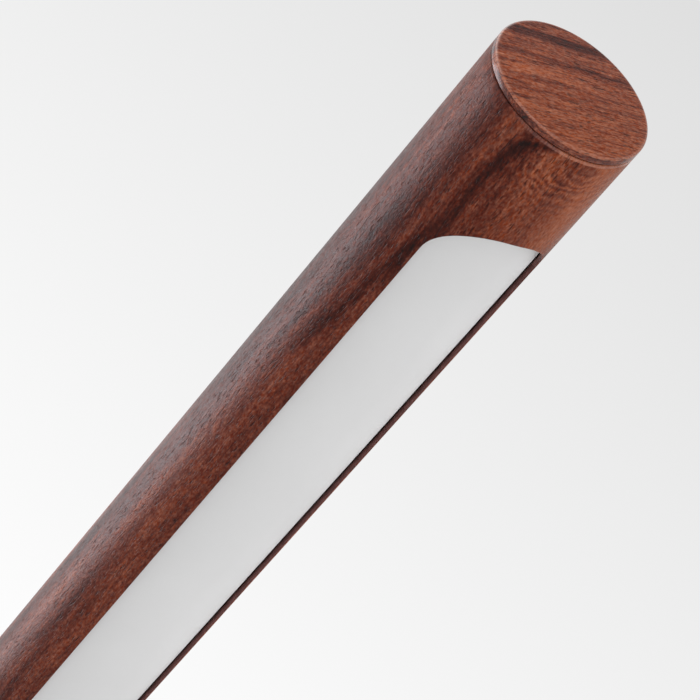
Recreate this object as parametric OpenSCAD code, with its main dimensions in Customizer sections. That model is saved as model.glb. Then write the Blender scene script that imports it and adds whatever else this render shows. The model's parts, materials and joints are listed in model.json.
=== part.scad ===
// Table lamp: a slotted round light bar that swings on an upright post with a weighted base.
// Millimetres, +Z up, the bar reaches towards +X, origin at the centre of the base's underside.

/* [Light bar] */
// Outside diameter of the bar and of the post
tube_d = 32; // [31:0.5:36]
// Wall of both tubes
tube_wall = 0.9; // [0.8:0.1:1.4]
// Pivot axis to the tip face of the bar
bar_front = 330; // [260:5:400]
// Pivot axis to the tail face of the bar
bar_tail = 96; // [60:2:140]
// Angle of the bar above level at rest, in degrees
bar_raise = 21.5; // [0:0.5:60]

/* [Slot and diffuser] */
// Width of the slot
slot_w = 24; // [20:0.5:25]
// Corner radius at both ends of the slot
slot_end_r = 11; // [4:0.5:12]
// Tip face to the near end of the slot
slot_tip = 24.7; // [18:0.1:40]
// Pivot axis to the far end of the slot
slot_rear = 46; // [40:1:80]
// Tube axis to the face of the diffuser
diffuser_level = 9.4; // [8:0.1:10]
// Thickness of the diffuser's face
diffuser_t = 1.8; // [1.4:0.1:2.4]
// Gap between the edges of the diffuser and the tube's bore
diffuser_gap = 0.35; // [0.2:0.05:0.5]
// Length of the diffuser behind the tube past each end of the slot
diffuser_past = 6; // [4:0.5:8.5]
// Thickness of the diffuser's legs and feet
diffuser_leg = 1.2; // [1:0.1:1.5]

/* [LED strip] */
// Tube axis to the rails that carry the diffuser
rail_level = 3.8; // [3:0.1:4.4]
// Thickness of the tray's floor
tray_floor = 2; // [1.5:0.1:2.6]
// Thickness of the tray's rails
tray_rail = 1.2; // [1:0.1:1.6]
// Width of the LED board
led_board_w = 20; // [14:1:22]
// Thickness of the LED board
led_board_t = 1.2; // [1:0.1:1.6]
// Distance between LEDs
led_pitch = 10; // [7:0.5:16]
// Length of one LED along the bar
led_l = 3.5; // [2.5:0.1:4]
// Width of one LED
led_w = 2.8; // [2:0.1:4]
// Height of one LED
led_t = 0.7; // [0.5:0.1:1]

/* [End caps] */
// Thickness of the cap's disc
cap_disc = 1.5; // [1:0.1:3]
// Chamfer round the cap's face
cap_chamfer = 0.4; // [0.2:0.1:0.8]
// Width of the parting line under the disc
cap_reveal = 0.25; // [0.1:0.05:0.5]
// Depth of the parting line
cap_reveal_depth = 0.4; // [0.3:0.1:0.5]
// Length of the cap's spigot
cap_spigot = 7; // [5:0.5:10]
// Wall of the cap's spigot
cap_spigot_wall = 2; // [1.5:0.1:3]

/* [Tilt joint] */
// Height of the pivot axis over the table
pivot_z = 362; // [300:5:420]
// Diameter of the two hub bosses
hub_d = 24; // [22.5:0.5:26]
// Height of each boss over its tube
hub_proud = 2; // [1:0.1:4]
// Thickness of the friction washer
friction_t = 1; // [0.6:0.1:1.6]
// Diameter of the pivot bolt's shoulder
bolt_d = 12; // [11:0.5:13]
// Bore of the pivot bolt
bolt_bore = 6; // [5:0.2:7]
// Diameter of the bolt's threaded end
bolt_thread_d = 8; // [6:0.5:9]
// Diameter of the bolt's head
bolt_head_d = 16; // [14:0.5:17]
// Height of the bolt's head
bolt_head_h = 5; // [4:0.5:6]
// Key size of the bolt's socket
bolt_key = 8; // [6:0.5:10]
// Depth of the bolt's socket
bolt_key_depth = 3.5; // [2:0.5:4]
// Tube axis to the seats of the bolt's head and of its nut
bolt_seat = 6.5; // [5.5:0.1:7]
// Length of the plug inside the bar
bar_block_l = 44; // [36:1:60]
// Half the length of the plug inside the post
post_block_half = 29; // [20:1:30]
// Diameter of the stop peg
peg_d = 3; // [2:0.1:3.2]
// Pivot axis to the stop peg
peg_reach = 9.1; // [8.8:0.1:9.4]
// How far the peg stands out of its boss
peg_stand = 2; // [1.5:0.1:3]
// Lowest angle of the bar, in degrees from level
tilt_low = -75; // [-80:1:-10]
// Highest angle of the bar, in degrees from level
tilt_high = 90; // [70:1:100]

/* [Pivot hardware] */
// Diameter of the caps over the bolt and its nut
plug_d = 20; // [19.8:0.1:21]
// Height of a cap over its tube
plug_proud = 1.5; // [0.8:0.1:3]
// Thickness of a cap's face
plug_face = 2; // [1.5:0.1:2.5]
// Wall of a cap's skirt
plug_skirt = 1.2; // [1:0.1:1.5]
// Outside diameter of the washers under the nut
pivot_washer_d = 16; // [14:0.5:17]
// Thickness of the flat washer
pivot_washer_t = 1; // [0.6:0.1:1.4]
// Sheet of the cone springs
cone_t = 0.8; // [0.6:0.1:1]
// Rise of the cone springs
cone_rise = 0.7; // [0.4:0.1:1]
// Size across flats of the pivot nut
pivot_nut_af = 13; // [11:0.5:14.5]
// Height of the pivot nut
pivot_nut_h = 4.5; // [3:0.5:5]

/* [Post] */
// Pivot axis to the top face of the post
post_above = 38; // [38:1:60]
// Diameter of the collar on the base
collar_d = 50; // [46:1:60]
// Height of the collar
collar_h = 6; // [5:0.5:9]
// Fillet round the top of the collar
collar_fillet = 2; // [1:0.5:3]
// Length of the plug inside the foot of the post
foot_plug = 32; // [28:1:44]
// Bore of the foot, for the lead
foot_bore = 8; // [6:0.5:10]
// Diameter of the foot's spindle
spindle_d = 20; // [19:0.5:22]
// Diameter of the spindle's threaded end
spindle_thread_d = 18; // [15:0.5:19]
// Diameter of the foot screws
foot_screw_d = 5; // [4:0.5:6]
// Length of the foot screws
foot_screw_l = 8; // [6:0.5:9]
// Distance between the foot screws
foot_screw_step = 11; // [9:0.5:14]

/* [Swivel joint] */
// Turn of the post each way, in degrees
swivel_turn = 165; // [90:1:168]
// Gap between the collar and the base
collar_gap = 0.4; // [0.3:0.1:0.8]
// Wall of the bush
bush_wall = 2; // [1.5:0.1:3]
// Diameter of the bush's flange
bush_flange_d = 31; // [28:0.5:33]
// Thickness of the bush's flange
bush_flange_t = 1.2; // [1:0.1:1.6]
// Length of the bush
bush_l = 10; // [8:0.5:11]
// Outside diameter of the thrust washer and of the spring under it
thrust_d = 34; // [30:0.5:38]
// Thickness of the thrust washer
thrust_t = 1; // [0.6:0.1:1.4]
// Size across flats of the swivel nut
swivel_nut_af = 26; // [24:0.5:30]
// Height of the swivel nut
swivel_nut_h = 4; // [3:0.5:4.5]
// Diameter of the stop pin
stop_d = 4; // [3:0.5:4.5]
// Swivel axis to the stop pin
stop_reach = 20; // [19.5:0.1:20.5]
// How far the stop pin stands into its groove
stop_stand = 2.2; // [1.5:0.1:3]

/* [Base] */
// Diameter of the base
base_d = 170; // [168:1:200]
// Height of the base's top over the table
base_top = 26; // [26:0.5:34]
// Wall of the base shell
base_wall = 3; // [2.5:0.1:3.5]
// Thickness of the base shell's top
base_roof = 3.5; // [3:0.1:4]
// Fillet round the top of the base
base_fillet = 5; // [2:0.5:8]
// Thickness of the grip pad
pad_t = 2; // [1:0.1:3]
// Distance of the pad's edge from the base's edge
pad_inset = 6; // [4:0.5:9]
// Thickness of the bottom plate
plate_t = 2; // [1.5:0.1:2.5]
// Height of the weight
weight_h = 12; // [8:0.5:12.5]
// Distance of the weight's edge from the shell's wall
weight_inset = 6; // [2:0.5:10]
// Swivel axis to the plate screws
plate_screw_reach = 60; // [54:0.5:64]
// Diameter of the plate screws
plate_screw_d = 4; // [3:0.5:4.5]
// Length of the plate screws
plate_screw_l = 13; // [10:0.5:16]

/* [Switch] */
// Distance of the button's axis from the base's edge
button_inset = 27; // [23:0.5:31]
// Diameter of the button
button_d = 18; // [16:0.5:19]
// Height of the button over its bezel
button_proud = 1; // [0.8:0.1:2]
// Travel of the button
button_travel = 1.5; // [0.5:0.1:1.6]
// Dish in the middle of the button
button_dish = 0.5; // [0.3:0.1:0.8]
// Wall of the bezel
bezel_wall = 1.8; // [1.4:0.1:2.2]
// Width of the bezel's rim on the base
bezel_rim = 1.6; // [1:0.1:2]
// Height of the bezel's rim
bezel_rim_h = 1; // [0.6:0.1:1.6]
// Diameter of the button's stem
stem_d = 4; // [3:0.1:5]
// Width of the push switch
switch_w = 10; // [8.8:0.1:11]
// Height of the push switch
switch_h = 5; // [4.6:0.1:5.2]
// Length of the control board across the base
board_l = 40; // [38:1:42]
// Width of the control board
board_w = 30; // [26:1:32]
// Thickness of the control board
board_t = 1.6; // [1:0.1:2]
// Height of the control board's top over the bottom plate
board_up = 8; // [7:0.1:8.4]
// Distance between the board screws
board_screw_span = 30; // [29.5:0.5:32]
// Diameter of the board screws
board_screw_d = 3; // [2:0.5:3.5]
// Wire of the button's spring
spring_wire = 0.6; // [0.4:0.1:0.7]
// Outside diameter of the button's spring
spring_d = 8; // [7:0.1:8.6]
// Turns of the button's spring
spring_turns = 4; // [3:0.5:4]

/* [Supply] */
// Height of the supply socket over the bottom plate
socket_up = 9; // [8:0.1:10]
// Bore of the socket's mouth, for a barrel plug of 5.5 mm
socket_bore = 5.7; // [5.6:0.1:6]
// Length of the socket's mouth
socket_mouth = 3; // [2:0.1:4]
// Bore of the socket behind the mouth
socket_room = 6.4; // [6.2:0.1:6.6]
// Outside diameter of the socket's sleeve
socket_sleeve_d = 8; // [7.8:0.1:9]
// Contact pin of the socket
socket_pin_d = 2.1; // [1.6:0.1:2.5]
// Length of the socket's body
socket_l = 15; // [14:0.5:17]
// Width of the socket's body
socket_w = 12; // [10:0.5:13]
// Height of the socket's body
socket_h = 11; // [10:0.5:12]
// Diameter of the socket's nut
socket_nut_d = 12; // [11:0.5:14]
// Thickness of the socket's nut
socket_nut_t = 2; // [1.5:0.1:3]
// Diameter of the leads
lead_d = 2.6; // [2:0.1:3]

/* [Fits] */
// Radial clearance of a turning or sliding fit
run_fit = 0.05; // [0.02:0.01:0.09]
// Clearance of a fixed fit
slip_fit = 0.1; // [0.05:0.01:0.15]
// Clearance between faces that move past each other
face_fit = 0.05; // [0.02:0.01:0.1]
// Room round pieces that must not touch
room = 0.3; // [0.3:0.05:0.5]

/* [Hidden] */
$fn = 96;

// Colours
rosewood = [0.42, 0.23, 0.18];
milk = [0.90, 0.90, 0.88];
black_metal = [0.10, 0.10, 0.11];
steel = [0.62, 0.63, 0.65];
bare_aluminium = [0.78, 0.79, 0.80];
circuit_green = [0.10, 0.30, 0.18];
white_board = [0.92, 0.92, 0.90];
black_plastic = [0.07, 0.07, 0.08];
dark_rubber = [0.12, 0.12, 0.12];
iron = [0.24, 0.24, 0.25];
nylon = [0.86, 0.85, 0.80];
fibre = [0.30, 0.24, 0.18];
black_jacket = [0.06, 0.06, 0.06];

// A cut runs this far past the face that it leaves
past = 1;
// A thread runs this far past its nut
thread_tail = 0.4;

// Tubes
tube_r = tube_d / 2;
bore_r = tube_r - tube_wall;
block_r = bore_r - slip_fit;
cap_total = cap_disc + cap_reveal;
bar_offset = tube_d + 2 * hub_proud + friction_t;
tube_x0 = cap_total - bar_tail;
tube_x1 = bar_front - cap_total;
post_top = pivot_z + post_above;

// Slot
slot_x0 = slot_rear;
slot_x1 = bar_front - slot_tip;
slot_end_flat = 1;
slot_r = min(slot_end_r, (slot_w - slot_end_flat) / 2);
diffuser_half = sqrt(pow(bore_r, 2) - pow(diffuser_level, 2)) - diffuser_gap;
foot_level = rail_level + diffuser_leg;
foot_half = sqrt(pow(bore_r, 2) - pow(foot_level, 2)) - room;

// LED strip, heights over the tube's axis
led_face = lead_d / 2;
tray_z0 = led_face + led_board_t;
tray_z1 = tray_z0 + tray_floor;
tray_half = sqrt(pow(bore_r, 2) - pow(max(tray_z1, rail_level), 2)) - slip_fit;
tray_x0 = bar_block_l / 2 + room;
tray_x1 = tube_x1 - cap_spigot - room;
board_inset = 2;
lead_land = 8;
led_x0 = tray_x0 + board_inset + lead_land + led_pitch;
led_x1 = tray_x1 - board_inset - led_pitch / 2;

// Tilt joint
hub_r = hub_d / 2;
seat_land = 0.4;
hub_seat = sqrt(pow(block_r, 2) - pow(hub_r, 2)) - seat_land;
hub_top = tube_r + hub_proud;
plug_r = plug_d / 2;
plug_top = tube_r + plug_proud;
cone_h = cone_t + cone_rise;
nut_y0 = bolt_seat + pivot_washer_t + cone_h;
bolt_end = nut_y0 + pivot_nut_h + thread_tail;
lead_play = 1;
lead_hole = lead_d + lead_play;
window_w = lead_hole + 3 * lead_play;
window_top = 2;
peg_angle = 90;
peg_sink = 4;
stop_margin = 1;
peg_swing = asin((peg_d / 2 + room) / peg_reach) + stop_margin;
groove_from = peg_angle - tilt_high - peg_swing;
groove_to = peg_angle - tilt_low + peg_swing;

// Base, heights over the table
base_r = base_d / 2;
shell_r = base_r - base_wall;
roof_z = base_top - base_roof;
plate_top = pad_t + plate_t;
weight_top = plate_top + weight_h;
weight_r = shell_r - weight_inset;
screw_post_r = 4;
screw_shoulder_r = 6;
head_rise = 2;
head_r = plate_screw_d / 2 + head_rise;
lead_z = plate_top + lead_d / 2;
lead_spread = 6;
lead_y = lead_d / 2 + lead_spread;

// Swivel joint
bush_z0 = base_top - bush_l;
bush_housing = 6;
hub_boss_r = spindle_d / 2 + bush_wall + bush_housing;
bush_sink = bush_flange_t + face_fit - collar_gap;
collar_z0 = base_top + collar_gap;
collar_top = collar_z0 + collar_h;
thrust_z0 = bush_z0 - face_fit - thrust_t;
swivel_nut_top = thrust_z0 - cone_h;
spindle_end = swivel_nut_top - swivel_nut_h - thread_tail;
stop_swing = asin((stop_d / 2 + room) / stop_reach) + stop_margin;
stop_angle = 180;
stop_groove_w = stop_d + 2 * room;
stop_groove_h = stop_stand + room;

// Switch
button_x = base_r - button_inset;
bezel_r = button_d / 2 + bezel_wall;
bezel_lip = 0.5;
bezel_drop = base_roof + bezel_lip;
bezel_z0 = base_top - bezel_drop;
button_top = base_top + bezel_rim_h + button_proud;
rim_t = 1.6;
rim_w = 1.2;
rim_r = button_d / 2 + rim_w;
rim_top = bezel_z0 - room;
rim_z0 = rim_top - rim_t;
board_top = plate_top + board_up;
board_z0 = board_top - board_t;
switch_top = board_top + switch_h;
stem_spare = 0.5;
spring_pocket = 3;
spring_pocket_r = spring_d / 2 + room;
switch_floor = 0.5;
stem_z0 = board_top + switch_floor + button_travel + stem_spare;
spring_z0 = switch_top;
spring_z1 = rim_z0 + spring_pocket;
board_post_r = 3.2;
board_head_r = board_screw_d;
board_head_h = 2;
board_grip = 6;

// Supply
socket_z = plate_top + socket_up;
socket_face = sqrt(pow(shell_r, 2) - pow(socket_w / 2, 2)) - face_fit;
socket_back = socket_face - socket_l;
socket_end = base_r + face_fit + socket_nut_t;
socket_end_wall = 4;
socket_floor = socket_back + socket_end_wall;
lead_drop = 5;

// A bar's own frame: x along the bar from the pivot, z up, y towards the post
module in_bar() {
  translate([0, -bar_offset, pivot_z]) rotate([0, -bar_raise, 0]) children();
}

// A rod along +Y from y0 to y1
module rod_y(d, y0, y1, fn = 96) {
  translate([0, y0, 0]) rotate([-90, 0, 0]) cylinder(d = d, h = y1 - y0, $fn = fn);
}

// A rod along +X from x0 to x1
module rod_x(d, x0, x1) {
  translate([x0, 0, 0]) rotate([0, 90, 0]) cylinder(d = d, h = x1 - x0);
}

// A rod along +Z from z0 to z1
module rod_z(d, z0, z1) {
  translate([0, 0, z0]) cylinder(d = d, h = z1 - z0);
}

// A flat ring from z0 to z1
module ring(outer_d, inner_d, z0, z1) {
  difference() {
    rod_z(outer_d, z0, z1);
    rod_z(inner_d, z0 - past, z1 + past);
  }
}

// A hexagon nut from z0 to z1
module hex_nut(across_flats, bore, z0, z1) {
  difference() {
    translate([0, 0, z0]) cylinder(d = across_flats / cos(30), h = z1 - z0, $fn = 6);
    rod_z(bore, z0 - past, z1 + past);
  }
}

// A cone spring that stands on its rim at z0 and rises to the bore
module cone_spring(outer_d, inner_d, z0) {
  translate([0, 0, z0]) rotate_extrude() polygon([
    [outer_d / 2, 0], [outer_d / 2, cone_t], [inner_d / 2, cone_h], [inner_d / 2, cone_rise]
  ]);
}

// A lead along straight runs with round corners
module lead(points) {
  for (i = [0 : len(points) - 2]) {
    run = points[i + 1] - points[i];
    flat = norm([run.x, run.y]);
    translate(points[i]) rotate([0, atan2(flat, run.z), atan2(run.y, run.x)])
      cylinder(d = lead_d, h = norm(run), $fn = 32);
    if (i > 0) translate(points[i]) sphere(d = lead_d, $fn = 32);
  }
}

// A groove about +Z between two angles, from z0 up
module arc_groove(reach, w, angle_from, angle_to, z0, h) {
  translate([0, 0, z0]) rotate([0, 0, angle_from]) rotate_extrude(angle = angle_to - angle_from)
    translate([reach - w / 2, 0]) square([w, h]);
}

// Outline of the slot, seen square to the diffuser
module slot_plan(x0, x1, w, r) {
  translate([x0 + r, -w / 2]) square([x1 - x0 - 2 * r, w]);
  translate([x0, r - w / 2]) square([x1 - x0, w - 2 * r]);
  for (x = [x0 + r, x1 - r], y = [r - w / 2, w / 2 - r]) translate([x, y]) circle(r);
}

// A cap on the end of a tube, with its face at z = 0 and its spigot below
module end_cap() {
  reveal_r = tube_r - cap_reveal_depth;
  spigot_r = bore_r - slip_fit;
  inner_r = spigot_r - cap_spigot_wall;
  spigot_z = -cap_total - cap_spigot;
  rotate_extrude() polygon([
    [0, 0], [tube_r - cap_chamfer, 0], [tube_r, -cap_chamfer], [tube_r, -cap_disc],
    [reveal_r, -cap_disc], [reveal_r, -cap_total], [spigot_r, -cap_total], [spigot_r, spigot_z],
    [inner_r, spigot_z], [inner_r, -cap_total], [0, -cap_total]
  ]);
}

// A cap over the bolt or its nut, outwards along +Z from the tube's axis
module plug_cap() {
  edge = 0.6;
  rotate_extrude() polygon([
    [0, plug_top], [plug_r - edge, plug_top], [plug_r, plug_top - edge], [plug_r, bolt_seat],
    [plug_r - plug_skirt, bolt_seat], [plug_r - plug_skirt, plug_top - plug_face], [0, plug_top - plug_face]
  ]);
}

// Light bar
module bar_tube() {
  color(rosewood) in_bar() difference() {
    rod_x(tube_d, tube_x0, tube_x1);
    rod_x(2 * bore_r, tube_x0 - past, tube_x1 + past);
    translate([0, 0, -tube_r - past]) linear_extrude(tube_r + past)
      slot_plan(slot_x0, slot_x1, slot_w, slot_r);
    rod_y(hub_d + 2 * slip_fit, 0, tube_r + past);
    rod_y(plug_d + 2 * slip_fit, -tube_r - past, 0);
  }
}

module tip_cap() {
  color(rosewood) in_bar() translate([bar_front, 0, 0]) rotate([0, 90, 0]) end_cap();
}

module tail_cap() {
  color(rosewood) in_bar() translate([-bar_tail, 0, 0]) rotate([0, -90, 0]) end_cap();
}

// One section along the bar: a flat face with a leg and a foot on each side
module diffuser() {
  strip_x0 = slot_x0 - diffuser_past;
  strip_l = slot_x1 + diffuser_past - strip_x0;
  leg_y0 = diffuser_half - diffuser_leg;
  right = [
    [diffuser_half, -diffuser_level], [diffuser_half, -foot_level], [foot_half, -foot_level],
    [foot_half, -rail_level], [leg_y0, -rail_level], [leg_y0, diffuser_t - diffuser_level]
  ];
  left = [for (i = [len(right) - 1 : -1 : 0]) [-right[i].x, right[i].y]];
  color(milk) in_bar() translate([strip_x0, 0, 0]) rotate([90, 0, 90]) linear_extrude(strip_l)
    polygon(concat(right, left));
}

module led_tray() {
  tray_l = tray_x1 - tray_x0;
  color(bare_aluminium) in_bar() {
    translate([tray_x0, -tray_half, tray_z0]) cube([tray_l, 2 * tray_half, tray_floor]);
    for (side = [0, 1]) mirror([0, side, 0])
      translate([tray_x0, tray_half - tray_rail, -rail_level])
        cube([tray_l, tray_rail, rail_level + tray_z0]);
  }
}

module led_board() {
  board_x0 = tray_x0 + board_inset;
  color(white_board) in_bar() translate([board_x0, -led_board_w / 2, led_face])
    cube([tray_x1 - board_inset - board_x0, led_board_w, led_board_t]);
}

module led_chips() {
  color(milk) in_bar() for (x = [led_x0 : led_pitch : led_x1])
    translate([x - led_l / 2, -led_w / 2, led_face - led_t]) cube([led_l, led_w, led_t]);
}

module bar_lead() {
  color(black_jacket) in_bar()
    lead([[0, bar_offset, 0], [0, 0, 0], [tray_x0 + board_inset + lead_land, 0, 0]]);
}

// Tilt joint, the side of the bar
module bar_block() {
  color(bare_aluminium) in_bar() difference() {
    rod_x(2 * block_r, -bar_block_l / 2, bar_block_l / 2);
    rod_y(bolt_d + 2 * slip_fit, -tube_r, tube_r);
    rod_y(hub_d + 2 * slip_fit, hub_seat, tube_r);
    rod_y(plug_d + 2 * slip_fit, -tube_r, -bolt_seat);
    rod_x(lead_hole, 0, bar_block_l / 2 + past);
  }
}

module bar_boss() {
  groove_z = hub_top - peg_stand + friction_t;
  color(black_metal) in_bar() difference() {
    rod_y(hub_d, hub_seat, hub_top);
    rod_y(bolt_d + 2 * slip_fit, hub_seat - past, hub_top + past);
    rotate([-90, 0, 0])
      arc_groove(peg_reach, peg_d + 2 * room, -groove_to, -groove_from, groove_z - room, peg_stand + past);
  }
}

module pivot_bolt() {
  shoulder_end = bar_offset + bolt_seat;
  head_end = -bolt_seat - bolt_head_h;
  window_l = bolt_d + 2 * past;
  color(steel) in_bar() difference() {
    union() {
      rod_y(bolt_head_d, head_end, -bolt_seat);
      rod_y(bolt_d, -bolt_seat, shoulder_end);
      rod_y(bolt_thread_d, shoulder_end, bar_offset + bolt_end);
    }
    rod_y(bolt_bore, head_end - past, bar_offset + window_w / 2);
    rod_y(bolt_key / cos(30), head_end - past, head_end + bolt_key_depth, fn = 6);
    translate([-window_l / 2, bar_offset - window_w / 2, -window_l])
      cube([window_l, window_w, window_l + window_top]);
    translate([0, -lead_hole / 2, -lead_hole / 2]) cube([bolt_d, lead_hole, lead_hole]);
  }
}

// The stack under the nut, outwards along +Y from the post's axis
module on_nut_side() {
  in_bar() translate([0, bar_offset, 0]) rotate([-90, 0, 0]) children();
}

module pivot_washer() {
  color(steel) on_nut_side()
    ring(pivot_washer_d, bolt_thread_d + 2 * slip_fit, bolt_seat + face_fit, bolt_seat + pivot_washer_t);
}

module pivot_spring() {
  color(steel) on_nut_side()
    cone_spring(pivot_washer_d, bolt_thread_d + 2 * slip_fit, bolt_seat + pivot_washer_t);
}

module pivot_nut() {
  color(steel) on_nut_side()
    hex_nut(pivot_nut_af, bolt_thread_d + 2 * run_fit, nut_y0, nut_y0 + pivot_nut_h);
}

module bolt_cap() {
  color(black_metal) in_bar() rotate([90, 0, 0]) plug_cap();
}

// Post
module post_tube() {
  color(rosewood) difference() {
    rod_z(tube_d, collar_top, post_top - cap_total);
    rod_z(2 * bore_r, collar_top - past, post_top);
    translate([0, 0, pivot_z]) {
      rod_y(hub_d + 2 * slip_fit, -tube_r - past, 0);
      rod_y(plug_d + 2 * slip_fit, 0, tube_r + past);
    }
    at_foot_screws() rod_x(foot_screw_d + 2 * slip_fit, -tube_r - past, 0);
  }
}

module post_cap() {
  color(rosewood) translate([0, 0, post_top]) end_cap();
}

module post_block() {
  color(bare_aluminium) translate([0, 0, pivot_z]) difference() {
    rod_z(2 * block_r, -post_block_half, post_block_half);
    rod_y(bolt_d + 2 * run_fit, -tube_r, tube_r);
    rod_y(hub_d + 2 * slip_fit, -tube_r, -hub_seat);
    rod_y(plug_d + 2 * slip_fit, bolt_seat, tube_r);
    rod_z(lead_hole, -post_block_half - past, 0);
  }
}

module post_boss() {
  color(black_metal) translate([0, 0, pivot_z]) difference() {
    rod_y(hub_d, -hub_top, -hub_seat);
    rod_y(bolt_d + 2 * run_fit, -hub_top - past, past - hub_seat);
    translate([0, 0, peg_reach]) rod_y(peg_d, -hub_top - past, peg_sink - hub_top);
  }
}

module friction_washer() {
  color(fibre) translate([0, 0, pivot_z]) difference() {
    rod_y(hub_d - 2 * room, face_fit - hub_top - friction_t, -hub_top);
    rod_y(bolt_d + 2 * slip_fit, -hub_top - friction_t - past, past - hub_top);
    translate([0, 0, peg_reach]) rod_y(peg_d + 2 * slip_fit, -hub_top - friction_t - past, past - hub_top);
  }
}

module tilt_peg() {
  color(steel) translate([0, 0, pivot_z + peg_reach]) rod_y(peg_d, -hub_top - peg_stand, peg_sink - hub_top);
}

module nut_cap() {
  color(black_metal) translate([0, 0, pivot_z]) rotate([-90, 0, 0]) plug_cap();
}

module at_foot_screws() {
  first = collar_top + foot_plug / 2;
  for (side = [-0.5, 0.5]) translate([0, 0, first + side * foot_screw_step]) children();
}

module post_foot() {
  color(black_metal) difference() {
    union() {
      rotate_extrude() {
        translate([0, collar_z0]) square([collar_d / 2, collar_h - collar_fillet]);
        translate([0, collar_z0]) square([collar_d / 2 - collar_fillet, collar_h]);
        translate([collar_d / 2 - collar_fillet, collar_top - collar_fillet]) circle(collar_fillet);
      }
      rod_z(2 * block_r, collar_z0, collar_top + foot_plug);
      rod_z(spindle_d, bush_z0 - face_fit, collar_top);
      rod_z(spindle_thread_d, spindle_end, collar_top);
    }
    rod_z(foot_bore, spindle_end - past, collar_top + foot_plug + past);
    arc_groove(stop_reach, stop_groove_w, stop_angle - swivel_turn - stop_swing,
               stop_angle + swivel_turn + stop_swing, collar_z0 - past, stop_groove_h + past);
    at_foot_screws() rod_x(foot_screw_d, -tube_r, -foot_bore / 2);
  }
}

module foot_screws() {
  screw_x0 = -tube_r + room;
  key_d = foot_screw_d / 2 / cos(30);
  key_depth = foot_screw_l / 3;
  color(steel) at_foot_screws() difference() {
    rod_x(foot_screw_d, screw_x0, screw_x0 + foot_screw_l);
    translate([screw_x0 - past, 0, 0]) rotate([0, 90, 0]) cylinder(d = key_d, h = key_depth + past, $fn = 6);
  }
}

module thrust_washer() {
  color(nylon) ring(thrust_d, spindle_thread_d + 2 * slip_fit, thrust_z0, thrust_z0 + thrust_t);
}

module swivel_spring() {
  color(steel) cone_spring(thrust_d, spindle_thread_d + 2 * slip_fit, swivel_nut_top);
}

module swivel_nut() {
  color(steel)
    hex_nut(swivel_nut_af, spindle_thread_d + 2 * run_fit, swivel_nut_top - swivel_nut_h, swivel_nut_top);
}

module post_lead() {
  color(black_jacket) lead([[0, 0, lead_z + lead_d / 2 + room], [0, 0, pivot_z - lead_d / 2 - room]]);
}

// Base
module at_plate_screws() {
  for (angle = [45 : 90 : 315]) rotate([0, 0, angle]) translate([plate_screw_reach, 0, 0]) children();
}

module at_board_screws() {
  for (side = [-0.5, 0.5]) translate([button_x, side * board_screw_span, 0]) children();
}

module base_shell() {
  color(black_metal) difference() {
    union() {
      difference() {
        rotate_extrude() {
          translate([0, pad_t]) square([base_r, base_top - pad_t - base_fillet]);
          translate([0, pad_t]) square([base_r - base_fillet, base_top - pad_t]);
          translate([base_r - base_fillet, base_top - base_fillet]) circle(base_fillet);
        }
        rod_z(2 * shell_r, pad_t - past, roof_z);
      }
      rod_z(2 * hub_boss_r, bush_z0, base_top);
      at_plate_screws() rod_z(2 * screw_shoulder_r, weight_top, roof_z + past);
      at_plate_screws() rod_z(2 * screw_post_r, plate_top, roof_z);
      at_board_screws() rod_z(2 * board_post_r, board_top, roof_z + past);
    }
    rod_z(spindle_d + 2 * bush_wall, bush_z0 - past, base_top + past);
    rod_z(bush_flange_d + 2 * slip_fit, base_top - bush_sink, base_top + past);
    translate([-stop_reach, 0, 0]) rod_z(stop_d, roof_z, base_top + past);
    translate([button_x, 0, 0]) rod_z(2 * bezel_r + 2 * slip_fit, roof_z - past, base_top + past);
    at_plate_screws() rod_z(plate_screw_d, plate_top - past, pad_t + plate_screw_l + past);
    at_board_screws() rod_z(board_screw_d, board_top - past, board_top + board_grip + past);
    translate([0, 0, socket_z]) rod_x(socket_sleeve_d + 2 * slip_fit, -base_r - past, past - shell_r);
  }
}

module base_weight() {
  front_x0 = button_x - board_w / 2 - 2 * past;
  front_w = board_l + 4 * past;
  rear_x1 = lead_drop + lead_d + past - socket_back;
  rear_w = socket_w + 2 * past;
  groove_x0 = lead_drop - socket_back - lead_d;
  groove_w = 2 * lead_y + 2 * lead_d;
  nut_room_r = max(swivel_nut_af / cos(30), thrust_d) / 2 + 2 * past;
  color(iron) difference() {
    rod_z(2 * weight_r, plate_top, weight_top);
    rod_z(2 * max(nut_room_r, hub_boss_r + past), plate_top - past, weight_top + past);
    translate([front_x0, -front_w / 2, plate_top - past]) cube([base_r, front_w, weight_h + 2 * past]);
    translate([rear_x1 - base_r, -rear_w / 2, plate_top - past]) cube([base_r, rear_w, weight_h + 2 * past]);
    translate([groove_x0, -groove_w / 2, plate_top - past])
      cube([front_x0 - groove_x0 + past, groove_w, lead_d + 2 * past]);
    at_plate_screws() rod_z(2 * screw_post_r + 2 * room, plate_top - past, weight_top + past);
  }
}

module bottom_plate() {
  color(steel) difference() {
    rod_z(2 * (shell_r - slip_fit), pad_t, plate_top);
    at_plate_screws() {
      rod_z(plate_screw_d + 2 * slip_fit, pad_t - past, plate_top + past);
      translate([0, 0, pad_t])
        cylinder(r1 = head_r + slip_fit, r2 = plate_screw_d / 2 + slip_fit, h = head_rise);
    }
  }
}

module plate_screws() {
  color(steel) at_plate_screws() {
    translate([0, 0, pad_t]) cylinder(r1 = head_r, r2 = plate_screw_d / 2, h = head_rise);
    rod_z(plate_screw_d, pad_t + head_rise / 2, pad_t + plate_screw_l);
  }
}

module grip_pad() {
  color(dark_rubber) rod_z(2 * (base_r - pad_inset), 0, pad_t);
}

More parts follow.
